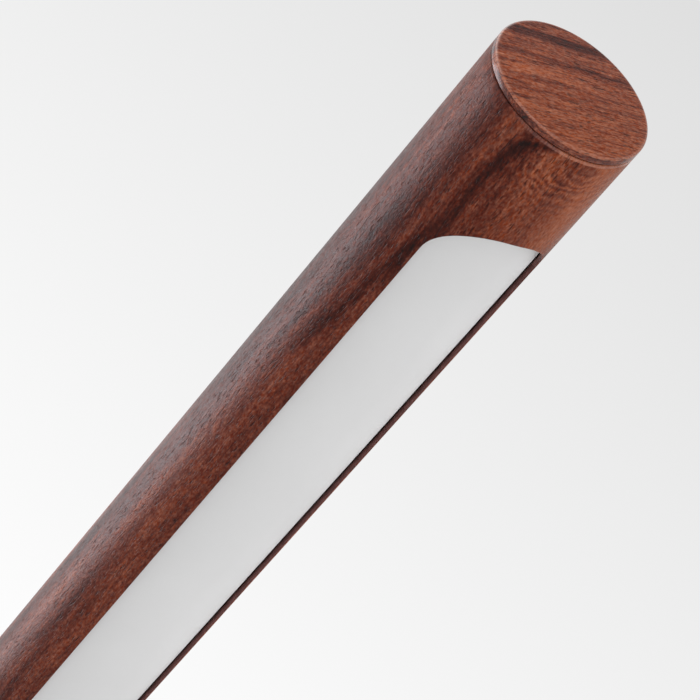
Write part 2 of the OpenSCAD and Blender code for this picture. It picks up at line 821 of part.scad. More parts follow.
module swivel_bush() {
  bush_r = spindle_d / 2 + bush_wall;
  flange_z0 = base_top - bush_sink;
  color(nylon) difference() {
    union() {
      rod_z(2 * bush_r, bush_z0, flange_z0);
      rod_z(bush_flange_d, flange_z0, flange_z0 + bush_flange_t);
    }
    rod_z(spindle_d + 2 * run_fit, bush_z0 - past, base_top + past);
  }
}

module swivel_stop() {
  color(steel) translate([-stop_reach, 0, 0]) rod_z(stop_d, roof_z, collar_z0 + stop_stand);
}

// Supply
module dc_socket() {
  color(black_plastic) translate([0, 0, socket_z]) difference() {
    union() {
      translate([-socket_face, -socket_w / 2, -socket_h / 2]) cube([socket_l, socket_w, socket_h]);
      rod_x(socket_sleeve_d, -socket_end, past - socket_face);
    }
    rod_x(socket_bore, -socket_end - past, past + socket_mouth - socket_end);
    rod_x(socket_room, socket_mouth - socket_end, -socket_floor);
    rod_x(socket_pin_d, -socket_floor - past, past - socket_floor);
  }
}

module socket_pin() {
  color(steel) translate([0, 0, socket_z])
    rod_x(socket_pin_d, socket_mouth + room - socket_end, past - socket_floor);
}

module socket_nut() {
  color(steel) translate([0, 0, socket_z]) difference() {
    rod_x(socket_nut_d, -socket_end, socket_nut_t - socket_end);
    rod_x(socket_sleeve_d + 2 * slip_fit, -socket_end - past, past - base_r);
  }
}

module supply_lead() {
  drop_x = lead_drop - socket_back;
  end_x = button_x - board_w / 4;
  color(black_jacket) lead([
    [-socket_back, 0, socket_z], [drop_x, 0, socket_z], [drop_x, 0, lead_z], [drop_x, lead_y, lead_z],
    [end_x, lead_y, lead_z], [end_x, lead_y, board_z0]
  ]);
}

module led_lead() {
  start_x = button_x - board_w / 4;
  color(black_jacket) lead([
    [start_x, -lead_y, board_z0], [start_x, -lead_y, lead_z], [0, -lead_y, lead_z], [0, 0, lead_z]
  ]);
}

// Switch
module control_board() {
  color(circuit_green) difference() {
    translate([button_x - board_w / 2, -board_l / 2, board_z0]) cube([board_w, board_l, board_t]);
    at_board_screws() rod_z(board_screw_d + 2 * slip_fit, board_z0 - past, board_top + past);
  }
}

module board_screws() {
  color(steel) at_board_screws() {
    rod_z(2 * board_head_r, board_z0 - board_head_h, board_z0);
    rod_z(board_screw_d, board_z0 - past, board_top + board_grip);
  }
}

module push_switch() {
  color(black_plastic) translate([button_x, 0, 0]) difference() {
    translate([-switch_w / 2, -switch_w / 2, board_top]) cube([switch_w, switch_w, switch_h]);
    rod_z(stem_d + 2 * slip_fit, board_top + switch_floor, switch_top + past);
  }
}

module button_bezel() {
  bore_d = button_d + 2 * room;
  color(black_metal) translate([button_x, 0, 0]) difference() {
    union() {
      rod_z(2 * bezel_r, bezel_z0, base_top + bezel_rim_h);
      rod_z(2 * (bezel_r + bezel_rim), base_top, base_top + bezel_rim_h);
    }
    rod_z(bore_d, bezel_z0 - past, base_top + bezel_rim_h + past);
  }
}

module power_button() {
  edge = 0.6;
  button_r = button_d / 2;
  dish_r = button_r - 2 * edge;
  dish_ball = (pow(dish_r, 2) + pow(button_dish, 2)) / (2 * button_dish);
  color(bare_aluminium) translate([button_x, 0, 0]) difference() {
    union() {
      difference() {
        rotate_extrude() polygon([
          [0, rim_z0], [rim_r, rim_z0], [rim_r, rim_top], [button_r, rim_top],
          [button_r, button_top - edge], [button_r - edge, button_top], [0, button_top]
        ]);
        rod_z(2 * spring_pocket_r, rim_z0 - past, rim_z0 + spring_pocket);
      }
      rod_z(stem_d, stem_z0, rim_z0 + spring_pocket + past);
    }
    translate([0, 0, button_top + dish_ball - button_dish]) sphere(dish_ball);
  }
}

// Coil spring as one unbroken tube along a helix
coil_r = (spring_d - spring_wire) / 2;
coil_z0 = spring_z0 + spring_wire / 2 + face_fit;
coil_rise = spring_z1 - spring_wire / 2 - face_fit - coil_z0;
coil_rings = 12 * spring_turns;
coil_sides = 8;

function coil_point(i) =
  let (angle = 360 * spring_turns * i / coil_rings)
  [coil_r * cos(angle), coil_r * sin(angle), coil_z0 + coil_rise * i / coil_rings];

function coil_ring(i) =
  let (
    turn = 360 * spring_turns * i / coil_rings,
    out = [cos(turn), sin(turn), 0],
    climb = atan2(coil_rise / spring_turns, 2 * PI * coil_r),
    up = [sin(turn) * sin(climb), -cos(turn) * sin(climb), cos(climb)]
  )
  [for (side = [0 : coil_sides - 1])
    let (a = 360 * side / coil_sides) coil_point(i) + spring_wire / 2 * (cos(a) * out + sin(a) * up)];

module button_spring() {
  points = [for (i = [0 : coil_rings]) each coil_ring(i)];
  sides = coil_sides;
  walls = [for (i = [0 : coil_rings - 1], s = [0 : sides - 1])
    let (a = i * sides + s, b = i * sides + (s + 1) % sides)
    each [[a, a + sides, b + sides], [a, b + sides, b]]];
  first = [for (s = [1 : sides - 2]) [0, s, s + 1]];
  top = coil_rings * sides;
  last = [for (s = [1 : sides - 2]) [top, top + s + 1, top + s]];
  echo(str("button_spring: least gap between turns ", coil_rise / spring_turns - spring_wire, " mm"));
  color(steel) translate([button_x, 0, 0]) polyhedron(points, concat(walls, first, last));
}

bar_tube();
tip_cap();
tail_cap();
diffuser();
led_tray();
led_board();
led_chips();
bar_lead();
bar_block();
bar_boss();
pivot_bolt();
pivot_washer();
pivot_spring();
pivot_nut();
bolt_cap();
post_tube();
post_cap();
post_block();
post_boss();
friction_washer();
tilt_peg();
nut_cap();
post_foot();
foot_screws();
thrust_washer();
swivel_spring();
swivel_nut();
post_lead();
base_shell();
base_weight();
bottom_plate();
plate_screws();
grip_pad();
swivel_bush();
swivel_stop();
dc_socket();
socket_pin();
socket_nut();
control_board();
board_screws();
push_switch();
button_bezel();
supply_lead();
led_lead();
power_button();
button_spring();
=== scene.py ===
# %% [markdown]
# # A table lamp with a round light bar
# The lamp is a round bar in rosewood grain that swings on an upright post, and the
# post turns on a weighted base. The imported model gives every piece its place. This
# lesson gives each piece its finish, and makes again the pieces that need finer
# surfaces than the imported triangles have.

# %% The frame
import json
import math

import bmesh
import bpy
from mathutils import Matrix, Vector


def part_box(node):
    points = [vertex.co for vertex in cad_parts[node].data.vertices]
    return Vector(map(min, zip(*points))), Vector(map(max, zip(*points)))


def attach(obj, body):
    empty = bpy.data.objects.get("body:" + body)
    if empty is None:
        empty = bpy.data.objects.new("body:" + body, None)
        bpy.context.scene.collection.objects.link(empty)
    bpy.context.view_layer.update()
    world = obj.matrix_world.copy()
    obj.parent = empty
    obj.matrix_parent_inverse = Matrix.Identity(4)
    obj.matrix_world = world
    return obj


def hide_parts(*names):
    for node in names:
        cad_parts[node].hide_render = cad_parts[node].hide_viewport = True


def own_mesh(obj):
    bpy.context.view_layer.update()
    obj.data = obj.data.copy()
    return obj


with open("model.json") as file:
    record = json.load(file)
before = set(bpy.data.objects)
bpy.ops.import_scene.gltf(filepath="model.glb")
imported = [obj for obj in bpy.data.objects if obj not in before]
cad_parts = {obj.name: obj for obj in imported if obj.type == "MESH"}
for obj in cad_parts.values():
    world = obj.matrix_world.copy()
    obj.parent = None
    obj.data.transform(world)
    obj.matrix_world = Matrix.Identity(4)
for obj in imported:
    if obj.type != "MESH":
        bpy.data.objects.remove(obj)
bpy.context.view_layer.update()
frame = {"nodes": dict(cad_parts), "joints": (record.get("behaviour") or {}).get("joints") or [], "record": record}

scene = bpy.context.scene
scene.view_settings.view_transform = "Standard"
MM = 0.001

# %% [markdown]
# ## Where things are
# The tilt joint gives the pivot's height. The bar runs past the post at a side
# distance, raised by an angle, so the bar has a frame of its own: x along the bar to
# the tip, y towards the post, and the slot on the -z side. A matrix takes points
# from that frame to the lamp's.

# %% The bar's own frame
joints = {joint["name"]: joint for joint in frame["joints"]}
PIVOT_Z = joints["bar_tilt"]["pos_m"][2]
BAR_SIDE = 37 * MM
BAR_RAISE = 21.5
BAR_FRONT = 330 * MM
BAR_TAIL = 96 * MM
TUBE_R = 16 * MM
TUBE_WALL = 0.9 * MM
BORE_R = TUBE_R - TUBE_WALL


def rotation(degrees, axis):
    """A turn about an axis."""
    return Matrix.Rotation(math.radians(degrees), 4, axis)


BAR = Matrix.Translation((0, -BAR_SIDE, PIVOT_Z)) @ rotation(-BAR_RAISE, "Y")
POST = Matrix.Translation((0, 0, PIVOT_Z))
BAR_TIP = BAR @ Matrix.Translation((BAR_FRONT, 0, 0))
BAR_END = BAR @ Matrix.Translation((-BAR_TAIL, 0, 0))
TIP = BAR_TIP.translation
print("the tip's centre is at", [round(x, 4) for x in TIP])

# %% [markdown]
# ## The camera
# The photograph is a close look at the tip from below, with a long lens: the tube's
# edges hardly draw together. The camera's distance, direction and lens were fitted
# to the cap's ellipse and to the slot's outline.

# %% Camera
CAMERA_FROM_TIP = Vector((385.3, -305.7, -218.7)) * MM
CAMERA_AZIMUTH = 56.10
CAMERA_ELEVATION = -19.18
SENSOR = 36
LENS = 157.93
NEAREST = 10 * MM


def direction(azimuth, elevation):
    """The way from the object towards a camera or lamp at these angles in degrees."""
    round_z, up = math.radians(azimuth), math.radians(elevation)
    flat = math.cos(up)
    return Vector((math.sin(round_z) * flat, -math.cos(round_z) * flat, math.sin(up)))


def facing(way):
    """The turn of a camera or lamp that looks along this way."""
    return way.to_track_quat("-Z", "Y").to_euler()


VIEW = -direction(CAMERA_AZIMUTH, CAMERA_ELEVATION)
camera = bpy.data.objects.new("camera", bpy.data.cameras.new("camera"))
scene.collection.objects.link(camera)
camera.data.sensor_width = SENSOR
camera.data.lens = LENS
camera.data.clip_start = NEAREST
camera.location = TIP + CAMERA_FROM_TIP
camera.rotation_euler = facing(VIEW)
scene.camera = camera
print("the camera stands", round(CAMERA_FROM_TIP.length, 3), "m from the tip")

# %% [markdown]
# ## Small tools for node trees
# A material is a tree of nodes. Adding nodes one by one fills pages, so these helpers
# add a node with its values in one line: a socket that is given another node's output
# is linked, and any other value is set.

# %% A node in one line


def fill(tree, node, sockets):
    """Links or sets some of a node's inputs."""
    for name, value in sockets.items():
        if isinstance(value, bpy.types.NodeSocket):
            tree.links.new(value, node.inputs[name])
        else:
            node.inputs[name].default_value = value


def put(tree, kind, sockets=None, **settings):
    """The outputs of a new node, with its settings made and its sockets filled."""
    node = tree.nodes.new(kind)
    for name, value in settings.items():
        setattr(node, name, value)
    fill(tree, node, sockets or {})
    return node.outputs


# %% [markdown]
# Patterns are sums and products of values that change over a surface, and a Math or
# Vector Math node is one step of such a sum. Short names for the steps let a pattern
# read like a formula.

# %% Sums with nodes


def calc(tree, operation, *values):
    """One step of arithmetic."""
    return put(tree, "ShaderNodeMath", dict(enumerate(values)), operation=operation)[0]


def times(tree, product, *values):
    """The product of some values."""
    for value in values:
        product = calc(tree, "MULTIPLY", product, value)
    return product


def scaled(tree, value, factor, offset):
    """A value times a factor, plus an offset."""
    return calc(tree, "MULTIPLY_ADD", value, factor, offset)


def vector_calc(tree, operation, *values):
    """One step of arithmetic on vectors."""
    return put(tree, "ShaderNodeVectorMath", dict(enumerate(values)), operation=operation)[0]


def split(tree, vector):
    """The x, y and z of a vector."""
    return put(tree, "ShaderNodeSeparateXYZ", {0: vector})


def length(tree, x, y):
    """The length of a flat vector."""
    flat = put(tree, "ShaderNodeCombineXYZ", {0: x, 1: y})[0]
    return put(tree, "ShaderNodeVectorMath", {0: flat}, operation="LENGTH")["Value"]


# %% [markdown]
# Noise is the raw stuff of wood, coats and clouds. It is stretched by scaling its
# coordinates: fewer cells along x than across it give streaks. Most of its values lie
# round 0.5, and a Map Range node with a smooth step cuts a soft mask out of them.

# %% Noise and masks
NOISE_MIDDLE = 0.5
NOISE_RANGE = (0.3, 0.7)


def noise(tree, vector, cells, output="Fac"):
    """Cloudy noise. The cells say how many lie in a unit along x and across it, and their detail."""
    lengthwise, crosswise, detail = cells
    stretched = vector_calc(tree, "MULTIPLY", vector, (lengthwise, crosswise, crosswise))
    return put(tree, "ShaderNodeTexNoise", {"Vector": stretched, "Scale": 1.0, "Detail": detail})[output]


def spread(tree, value, low, high, to_low=0.0, to_high=1.0, way="SMOOTHSTEP"):
    """One range of a value turned into another."""
    sockets = {"Value": value, "From Min": low, "From Max": high, "To Min": to_low, "To Max": to_high}
    return put(tree, "ShaderNodeMapRange", sockets, interpolation_type=way)[0]


def fade(tree, value, low, high):
    """1 below a range of a value, falling to 0 above it."""
    return spread(tree, value, low, high, 1.0, 0.0)


def layered(tree, tone, layer, share):
    """A tone moved up and down by a share of a layer of noise."""
    return scaled(tree, calc(tree, "SUBTRACT", layer, NOISE_MIDDLE), share, tone)


# %% [markdown]
# At the end a value becomes a colour. A ramp with a few stops holds the colours of a
# wood from dark to light, and a mix lays one colour over another through a mask.

# %% Colours from values


def ramp(tree, value, stops):
    """Colours along a value, each stop a place and a colour."""
    node = tree.nodes.new("ShaderNodeValToRGB")
    fill(tree, node, {"Fac": value})
    elements = node.color_ramp.elements
    while len(elements) < len(stops):
        elements.new(1.0)
    for element, (place, colour) in zip(elements, stops):
        element.position = place
        element.color = (*colour, 1.0)
    return node.outputs[0]


def two_tone(tree, value, low, high):
    """A ramp of two colours over the range where most of a noise lies."""
    return ramp(tree, value, list(zip(NOISE_RANGE, (low, high))))


def mix(tree, factor, first, second):
    """Two colours mixed by a factor."""
    return put(tree, "ShaderNodeMix", {0: factor, 6: first, 7: second}, data_type="RGBA")[2]


# %% [markdown]
# A look that several materials share becomes a node group with sockets of its own. A
# material here is one Principled shader, and its patterns count in millimetres from a
# frame of their own, so that grain can run along a raised bar.

# %% Group and material helpers


def new_group(name, inputs, outputs, kind="Shader"):
    """An empty node group with named sockets: its tree, what it is given and its output node."""
    tree = bpy.data.node_groups.new(name, kind + "NodeTree")
    for way, sockets in (("INPUT", inputs), ("OUTPUT", outputs)):
        for label, socket_kind in sockets.items():
            tree.interface.new_socket(name=label, in_out=way, socket_type="NodeSocket" + socket_kind)
    return tree, tree.nodes.new("NodeGroupInput").outputs, tree.nodes.new("NodeGroupOutput")


def place_group(tree, group, sockets):
    """A shader group placed in a material, with its own values."""
    node = tree.nodes.new("ShaderNodeGroup")
    node.node_tree = group
    fill(tree, node, sockets)
    return node.outputs


def new_material(name, **values):
    """A material with one Principled shader: the material, its tree and the shader."""
    material = bpy.data.materials.new(name)
    material.use_nodes = True
    tree = material.node_tree
    shader = tree.nodes["Principled BSDF"]
    fill(tree, shader, values)
    return material, tree, shader


def own_place(tree, matrix=Matrix()):
    """Object coordinates seen from a frame of the pattern's own, in millimetres."""
    sockets = {"Vector": put(tree, "ShaderNodeTexCoord")["Object"], "Location": matrix.translation,
               "Rotation": matrix.to_euler(), "Scale": [MM] * 3}
    return put(tree, "ShaderNodeMapping", sockets, vector_type="TEXTURE")[0]


def bump(tree, height, depth):
    """A normal from a height, as a bump of a real depth in metres."""
    return put(tree, "ShaderNodeBump", {"Height": height, "Distance": depth})[0]


# %% [markdown]
# ## The studio
# The photograph has an even, pale grey background that falls off a little to the
# upper right. A picture of a studio could light the lamp, but a slope of grey needs
# no file. The world shows that grey to the camera, and to reflections too, while a
# plainer white lights the lamp.

# %% World
WORLD_LIGHT = 0.475
GREY_MIDDLE = 0.866
GREY_SLOPE = 0.565
GREY_RANGE = 0.13


def studio_world():
    """White light all round, and a pale grey fall-off where the world itself is seen."""
    world = bpy.data.worlds.new("studio")
    world.use_nodes = True
    tree = world.node_tree
    right = VIEW.cross(Vector((0, 0, 1))).normalized()
    fall = right + right.cross(VIEW)
    way = put(tree, "ShaderNodeTexCoord")["Generated"]
    fallen = put(tree, "ShaderNodeVectorMath", {0: way, 1: fall}, operation="DOT_PRODUCT")["Value"]
    reach = GREY_RANGE / GREY_SLOPE
    middle = VIEW.dot(fall)
    grey = spread(tree, fallen, middle - reach, middle + reach,
                  GREY_MIDDLE + GREY_RANGE, GREY_MIDDLE - GREY_RANGE, "LINEAR")
    ray = put(tree, "ShaderNodeLightPath")
    seen = calc(tree, "MAXIMUM", ray["Is Camera Ray"], ray["Is Glossy Ray"])
    seen = calc(tree, "MAXIMUM", seen, ray["Is Transmission Ray"])
    light = tree.nodes["Background"]
    fill(tree, light, {"Color": (1, 1, 1, 1), "Strength": WORLD_LIGHT})
    backdrop = put(tree, "ShaderNodeBackground", {"Color": grey, "Strength": 1.0})[0]
    both = put(tree, "ShaderNodeMixShader", {0: seen, 1: light.outputs[0], 2: backdrop})[0]
    fill(tree, tree.nodes["World Output"], {"Surface": both})
    return world


scene.world = studio_world()
print("the world lights with", WORLD_LIGHT, "and shows a grey of about", GREY_MIDDLE)

# %% [markdown]
# A large soft panel behind the bar on the left draws the long grey sheen on the tube,
# and a weaker one beside it reaches the tube's edge. A soft box overhead lights the
# base and the floor. A fill in front and above, and a low one on the left, reach the
# cap and the diffuser, which looks down. Grids narrow the beams of two lamps, as they
# do in a studio, so that the pale floor doesn't turn plain white.

# %% Lamps of the studio
SHEEN_WAY = direction(-57, 18)
RIM_WAY = direction(-88, 30)
LEFT_WAY = direction(22, -9)
PANEL_DISTANCE = 1.5
LEFT_DISTANCE = 1.2
PANEL_WHITE = (0.93, 0.94, 1.0)
FINE_GRID = 100
WIDE_GRID = 130
ALONG_BAR = BAR_TIP.to_3x3() @ Vector((1, 0, 0))
LEFT_AIM = TIP - 0.1 * ALONG_BAR


def soft_box(name, place, aim, size, radiance, colour=(1, 1, 1), grid=180):
    """A flat soft lamp, unseen by the camera. Its face has this radiance, and a grid narrows its beam."""
    half = math.radians(grid) / 2
    data = bpy.data.lights.new(name, "AREA")
    data.shape = "RECTANGLE"
    data.size, data.size_y = size
    data.spread = 2 * half
    data.energy = radiance * math.pi * size[0] * size[1] * (1 - half / math.tan(half))
    data.color = colour
    lamp = bpy.data.objects.new(name, data)
    scene.collection.objects.link(lamp)
    lamp.location = place
    lamp.rotation_euler = facing(Vector(aim) - Vector(place))
    lamp.visible_camera = False
    print(name, "gives", round(data.energy, 1), "W")


soft_box("sheen_panel", TIP + PANEL_DISTANCE * SHEEN_WAY, TIP, size=(0.85, 0.65), radiance=7.3,
         colour=PANEL_WHITE, grid=FINE_GRID)
soft_box("rim_panel", TIP + PANEL_DISTANCE * RIM_WAY, TIP, size=(0.75, 0.5), radiance=0.75,
         colour=PANEL_WHITE)
soft_box("overhead", (0.25, -0.35, 1.8), (0.15, -0.2, 0), size=(1.6, 1.6), radiance=2.0)
soft_box("front_fill", (1.5, -0.3, 0.85), TIP, size=(0.8, 0.6), radiance=2.0)
soft_box("left_fill", TIP + LEFT_DISTANCE * LEFT_WAY, LEFT_AIM, size=(0.9, 0.3), radiance=1.55,
         grid=WIDE_GRID)

# %% [markdown]
# The lamp stands on pale paper. The photograph looks up and doesn't show it, but other
# views do. Seen from below, paper would hide the lamp, so a mix with a clear shader
# shows it from above only.

# %% Floor
FLOOR_R = 5.0
FLOOR_STEPS = 96
FLOOR_LEVEL = -0.2 * MM
PAPER_CLOUD = (0.004, 0.004, 2.0)
PAPER_WHITES = ((0.77,) * 3, (0.81,) * 3)
PAPER_ROUGH = 0.85


def pale_floor():
    """A large pale disc that shows only from above."""
    build = bmesh.new()
    bmesh.ops.create_circle(build, cap_ends=True, segments=FLOOR_STEPS, radius=FLOOR_R)
    mesh = bpy.data.meshes.new("floor")
    build.to_mesh(mesh)
    build.free()
    floor = bpy.data.objects.new("floor", mesh)
    scene.collection.objects.link(floor)
    floor.location.z = FLOOR_LEVEL
    material, tree, shader = new_material("floor_paper", Roughness=PAPER_ROUGH)
    cloud = noise(tree, own_place(tree), PAPER_CLOUD)
    fill(tree, shader, {"Base Color": two_tone(tree, cloud, *PAPER_WHITES)})
    clear = put(tree, "ShaderNodeBsdfTransparent")[0]
    below = put(tree, "ShaderNodeNewGeometry")["Backfacing"]
    both = put(tree, "ShaderNodeMixShader", {0: below, 1: shader.outputs[0], 2: clear})[0]
    fill(tree, tree.nodes["Material Output"], {"Surface": both})
    mesh.materials.append(material)


pale_floor()
print("the floor reaches", FLOOR_R, "m")

# %% [markdown]
# ## Rosewood
# The tube is lacquered in a rosewood grain: reddish brown, with broad dark bands of
# heartwood, finer streaks, short dark pores, a fine mottle and specks, and a pale haze
# in clouds over the lighter wood. Solid wood would show the same layers, so one group
# builds them as noise that is stretched along the grain. Each material gives it
# coordinates in millimetres with x along the grain, shifts the tone where a band is
# darker or a field is lighter, and where shade or a highlight is painted, and calms the
# layers where the wood is even.

# %% The rosewood group
DARK_HEART = (0.010, 0.0015, 0.0010)
HEART = (0.046, 0.0042, 0.0010)
BROWN = (0.110, 0.0112, 0.0015)
RED_BROWN = (0.212, 0.0300, 0.0035)
SAPWOOD = (0.350, 0.0740, 0.0190)
WOOD_STOPS = [(0.05, DARK_HEART), (0.27, HEART), (0.50, BROWN), (0.72, RED_BROWN), (0.95, SAPWOOD)]
WANDER = (0.02, 0.05, 1.0)
WANDER_REACH = 5.0
BANDS = (0.010, 0.16, 2.0)
STREAKS = (0.035, 0.9, 3.0)
STREAK_SHARE = 0.45
FIBRES = (0.25, 3.0, 3.0)
FIBRE_SHARE = 0.40
FIBRE_RELIEF = 0.5
MOTTLE = (0.8, 1.5, 4.0)
MOTTLE_SHARE = 0.55
MOTTLE_ROUGH = 0.36
LEAST_ROUGH = 0.20
SPECKS = (1.8, 3.4, 1.0)
SPECK_SHARE = 0.30
SPECK_RELIEF = 0.6
PORES = (0.5, 3.6, 1.0)
PORE_LEVELS = (0.60, 0.72)
PORE_DEPTH = 0.6
PORE_ROUGH = 0.12
MIST = (1.2, 2.6, 2.0)
MIST_LEVELS = (0.32, 0.68)
HAZE = (1.0, 0.91, 0.73)
HAZE_BY_TONE = (0.2, 0.95, 0.004, 0.092)
CALM_SHARE = 0.70


def rosewood_group():
    """Colour, roughness and relief from coordinates along the grain."""
    inputs = {"Grain": "Vector", "Bands": "Float", "Shift": "Float", "Calm": "Float"}
    outputs = {"Color": "Color", "Roughness": "Float", "Height": "Float"}
    tree, given, result = new_group("rosewood", inputs, outputs)
    grain = given["Grain"]
    wander = vector_calc(tree, "SUBTRACT", noise(tree, grain, WANDER, "Color"), (NOISE_MIDDLE,) * 3)
    bent = vector_calc(tree, "MULTIPLY_ADD", wander, (0.0, WANDER_REACH, WANDER_REACH), grain)
    streaks, fibres = noise(tree, bent, STREAKS), noise(tree, bent, FIBRES)
    mottle, specks = noise(tree, grain, MOTTLE), noise(tree, grain, SPECKS)
    rest = scaled(tree, given["Calm"], -CALM_SHARE, 1.0)
    tone = layered(tree, NOISE_MIDDLE, noise(tree, bent, BANDS), given["Bands"])
    for layer, share in ((streaks, STREAK_SHARE), (fibres, FIBRE_SHARE), (mottle, MOTTLE_SHARE),
                         (specks, SPECK_SHARE)):
        tone = layered(tree, tone, layer, times(tree, rest, share))
    tone = calc(tree, "ADD", tone, given["Shift"])
    pores = times(tree, spread(tree, noise(tree, bent, PORES), *PORE_LEVELS), rest)
    dark = times(tree, pores, PORE_DEPTH)
    colour = mix(tree, dark, ramp(tree, tone, WOOD_STOPS), (*DARK_HEART, 1))
    haze = spread(tree, noise(tree, bent, MIST), *MIST_LEVELS, way="LINEAR")
    haze = times(tree, haze, spread(tree, tone, *HAZE_BY_TONE), calc(tree, "SUBTRACT", 1.0, dark))
    relief = calc(tree, "SUBTRACT", scaled(tree, fibres, FIBRE_RELIEF, mottle), pores)
    fill(tree, result, {
        "Color": vector_calc(tree, "MULTIPLY_ADD", haze, HAZE, colour),
        "Roughness": scaled(tree, pores, PORE_ROUGH, scaled(tree, mottle, MOTTLE_ROUGH, LEAST_ROUGH)),
        "Height": scaled(tree, specks, SPECK_RELIEF, relief)})
    return tree


ROSEWOOD = rosewood_group()
print("the rosewood group has", len(ROSEWOOD.nodes), "nodes")

# %% [markdown]
# The photograph shows how the heartwood lies on the bar's near side: one dark band
# runs along the tube, bends towards the slot near the tip and ends in a hook under
# the cap, and a second, softer one lies above it. Past the hook the wood is lighter
# and calmer, with fine lines that sweep round a small knot. Noise alone can't place a
# band, so curves do: the distance from the tip goes in, and the angle of the band's
# middle line round the tube, from the slot's middle, comes out. Two more curves give
# each band's strength.

# %% Curves along the bar
FIGURE_LENGTH = 330.0
ANGLE_RANGE = (-100.0, 0.0)
SHARE_RANGE = (-0.3, 0.3)
BAND_LINE = [(0, -22), (3, -29), (5, -42), (10, -47), (18, -49.5), (30, -50), (41, -55.5), (52, -60.5),
             (63, -68), (72, -71.5), (110, -76), (165, -74.5), (195, -68), (330, -72)]
BAND_SHARE = [(0, -0.27), (40, -0.27), (60, -0.20), (95, -0.11), (125, -0.12), (160, -0.16), (330, -0.15)]
BAND_HALF = 9.0
SOFT_LINE = [(0, -69), (18, -70), (35, -73), (45, -78), (60, -84), (330, -88)]
SOFT_SHARE = [(0, -0.18), (35, -0.18), (60, -0.09), (95, -0.14), (130, -0.14), (160, 0.08), (330, 0.0)]
SOFT_HALF = 15.0


def along(tree, distance, points, value_range):
    """A value that follows the distance from the tip, such as the angle of a band's middle line."""
    low, high = value_range
    node = tree.nodes.new("ShaderNodeFloatCurve")
    fill(tree, node, {"Value": calc(tree, "DIVIDE", distance, FIGURE_LENGTH)})
    curve = node.mapping.curves[0]
    for _ in points[2:]:        # a new curve has two points already
        curve.points.new(0.5, 0.5)
    for knot, (place, value) in zip(curve.points, points):
        knot.location = (place / FIGURE_LENGTH, (value - low) / (high - low))
    node.mapping.update()
    return scaled(tree, node.outputs[0], high - low, low)


def band(tree, angle, distance, points, half_width):
    """1 on a band's middle line, falling to 0 at its edge."""
    middle = along(tree, distance, points, ANGLE_RANGE)
    return fade(tree, calc(tree, "ABSOLUTE", calc(tree, "SUBTRACT", angle, middle)), 0.0, half_width)


print("the dark band's line has", len(BAND_LINE), "points")

# %% [markdown]
# A knot is the foot of a branch, and the wood's lines run round it. Rings could be a
# texture of their own, but a sine of the distance from the knot's middle gives them in
# one step. Noise bends the distance, so that no ring is a true circle, and a dark core
# lies in the middle.

# %% The knot
KNOT_ALONG = 4.0
KNOT_ANGLE = 4.0
KNOT_FLAT = 0.65
KNOT_RING = 1.5
KNOT_REACH = 16.0
KNOT_CORE = 2.6
KNOT_BENDS = (0.16, 0.16, 3.0)
BEND_REACH = 7.0
RINGS_ALONG = (2.0, 9.0, 0.4, 1.0)
MM_PER_DEGREE = math.radians(1) * TUBE_R / MM


def knot_rings(tree, place, distance, angle):
    """Fine rings round the knot, wider across the bar, fading with their distance from it."""
    across = times(tree, calc(tree, "SUBTRACT", angle, KNOT_ANGLE), KNOT_FLAT * MM_PER_DEGREE)
    away = length(tree, calc(tree, "SUBTRACT", distance, KNOT_ALONG), across)
    away = layered(tree, away, noise(tree, place, KNOT_BENDS), BEND_REACH)
    waves = calc(tree, "SINE", times(tree, away, 2 * math.pi / KNOT_RING))
    waves = times(tree, waves, spread(tree, distance, *RINGS_ALONG), fade(tree, away, KNOT_RING, KNOT_REACH))
    return calc(tree, "SUBTRACT", waves, fade(tree, away, 0.0, KNOT_CORE))


print("the knot's rings are", KNOT_RING, "mm apart")

# %% [markdown]
# The bar's figure adds these up, each with its share, with painted shade on the upper
# side and the light field beside the slot. At the tube's very end a thin bright line
# is painted into the colour as a highlight, and a coat over the wood reflects there too.

# %% The bar's figure
FIGURE_OUTPUTS = {"Shift": "Float", "Back": "Float", "Edge": "Float", "Calm": "Float"}
RAGGED = (0.05, 0.35, 3.0)
RAGGED_REACH = 14.0
UPPER_SIDE = (92.0, 122.0)
# Painted shade: this share darkens the colour on the tube's upper side.
UPPER_PAINTED_SHADE = -0.22
LIGHT_RISE = (-55.0, 20.0)
LIGHT_FALL = (50.0, 110.0)
LIGHT_ALONG = (22.0, 32.0, 1.0, 0.3)
LIGHT_SHARE = 0.36
CALM_RISE = (-15.0, 10.0)
CALM_FALL = (16.0, 28.0)
KNOT_SHARE = 0.15
# The tube's very end: a painted highlight in its colour, and a real coat.
END_LINE_REACH = (2.3, 2.5)
END_PAINTED_HIGHLIGHT = 0.7
COAT_BY_ANGLE = (-75.0, -20.0, 0.15, 1.0)


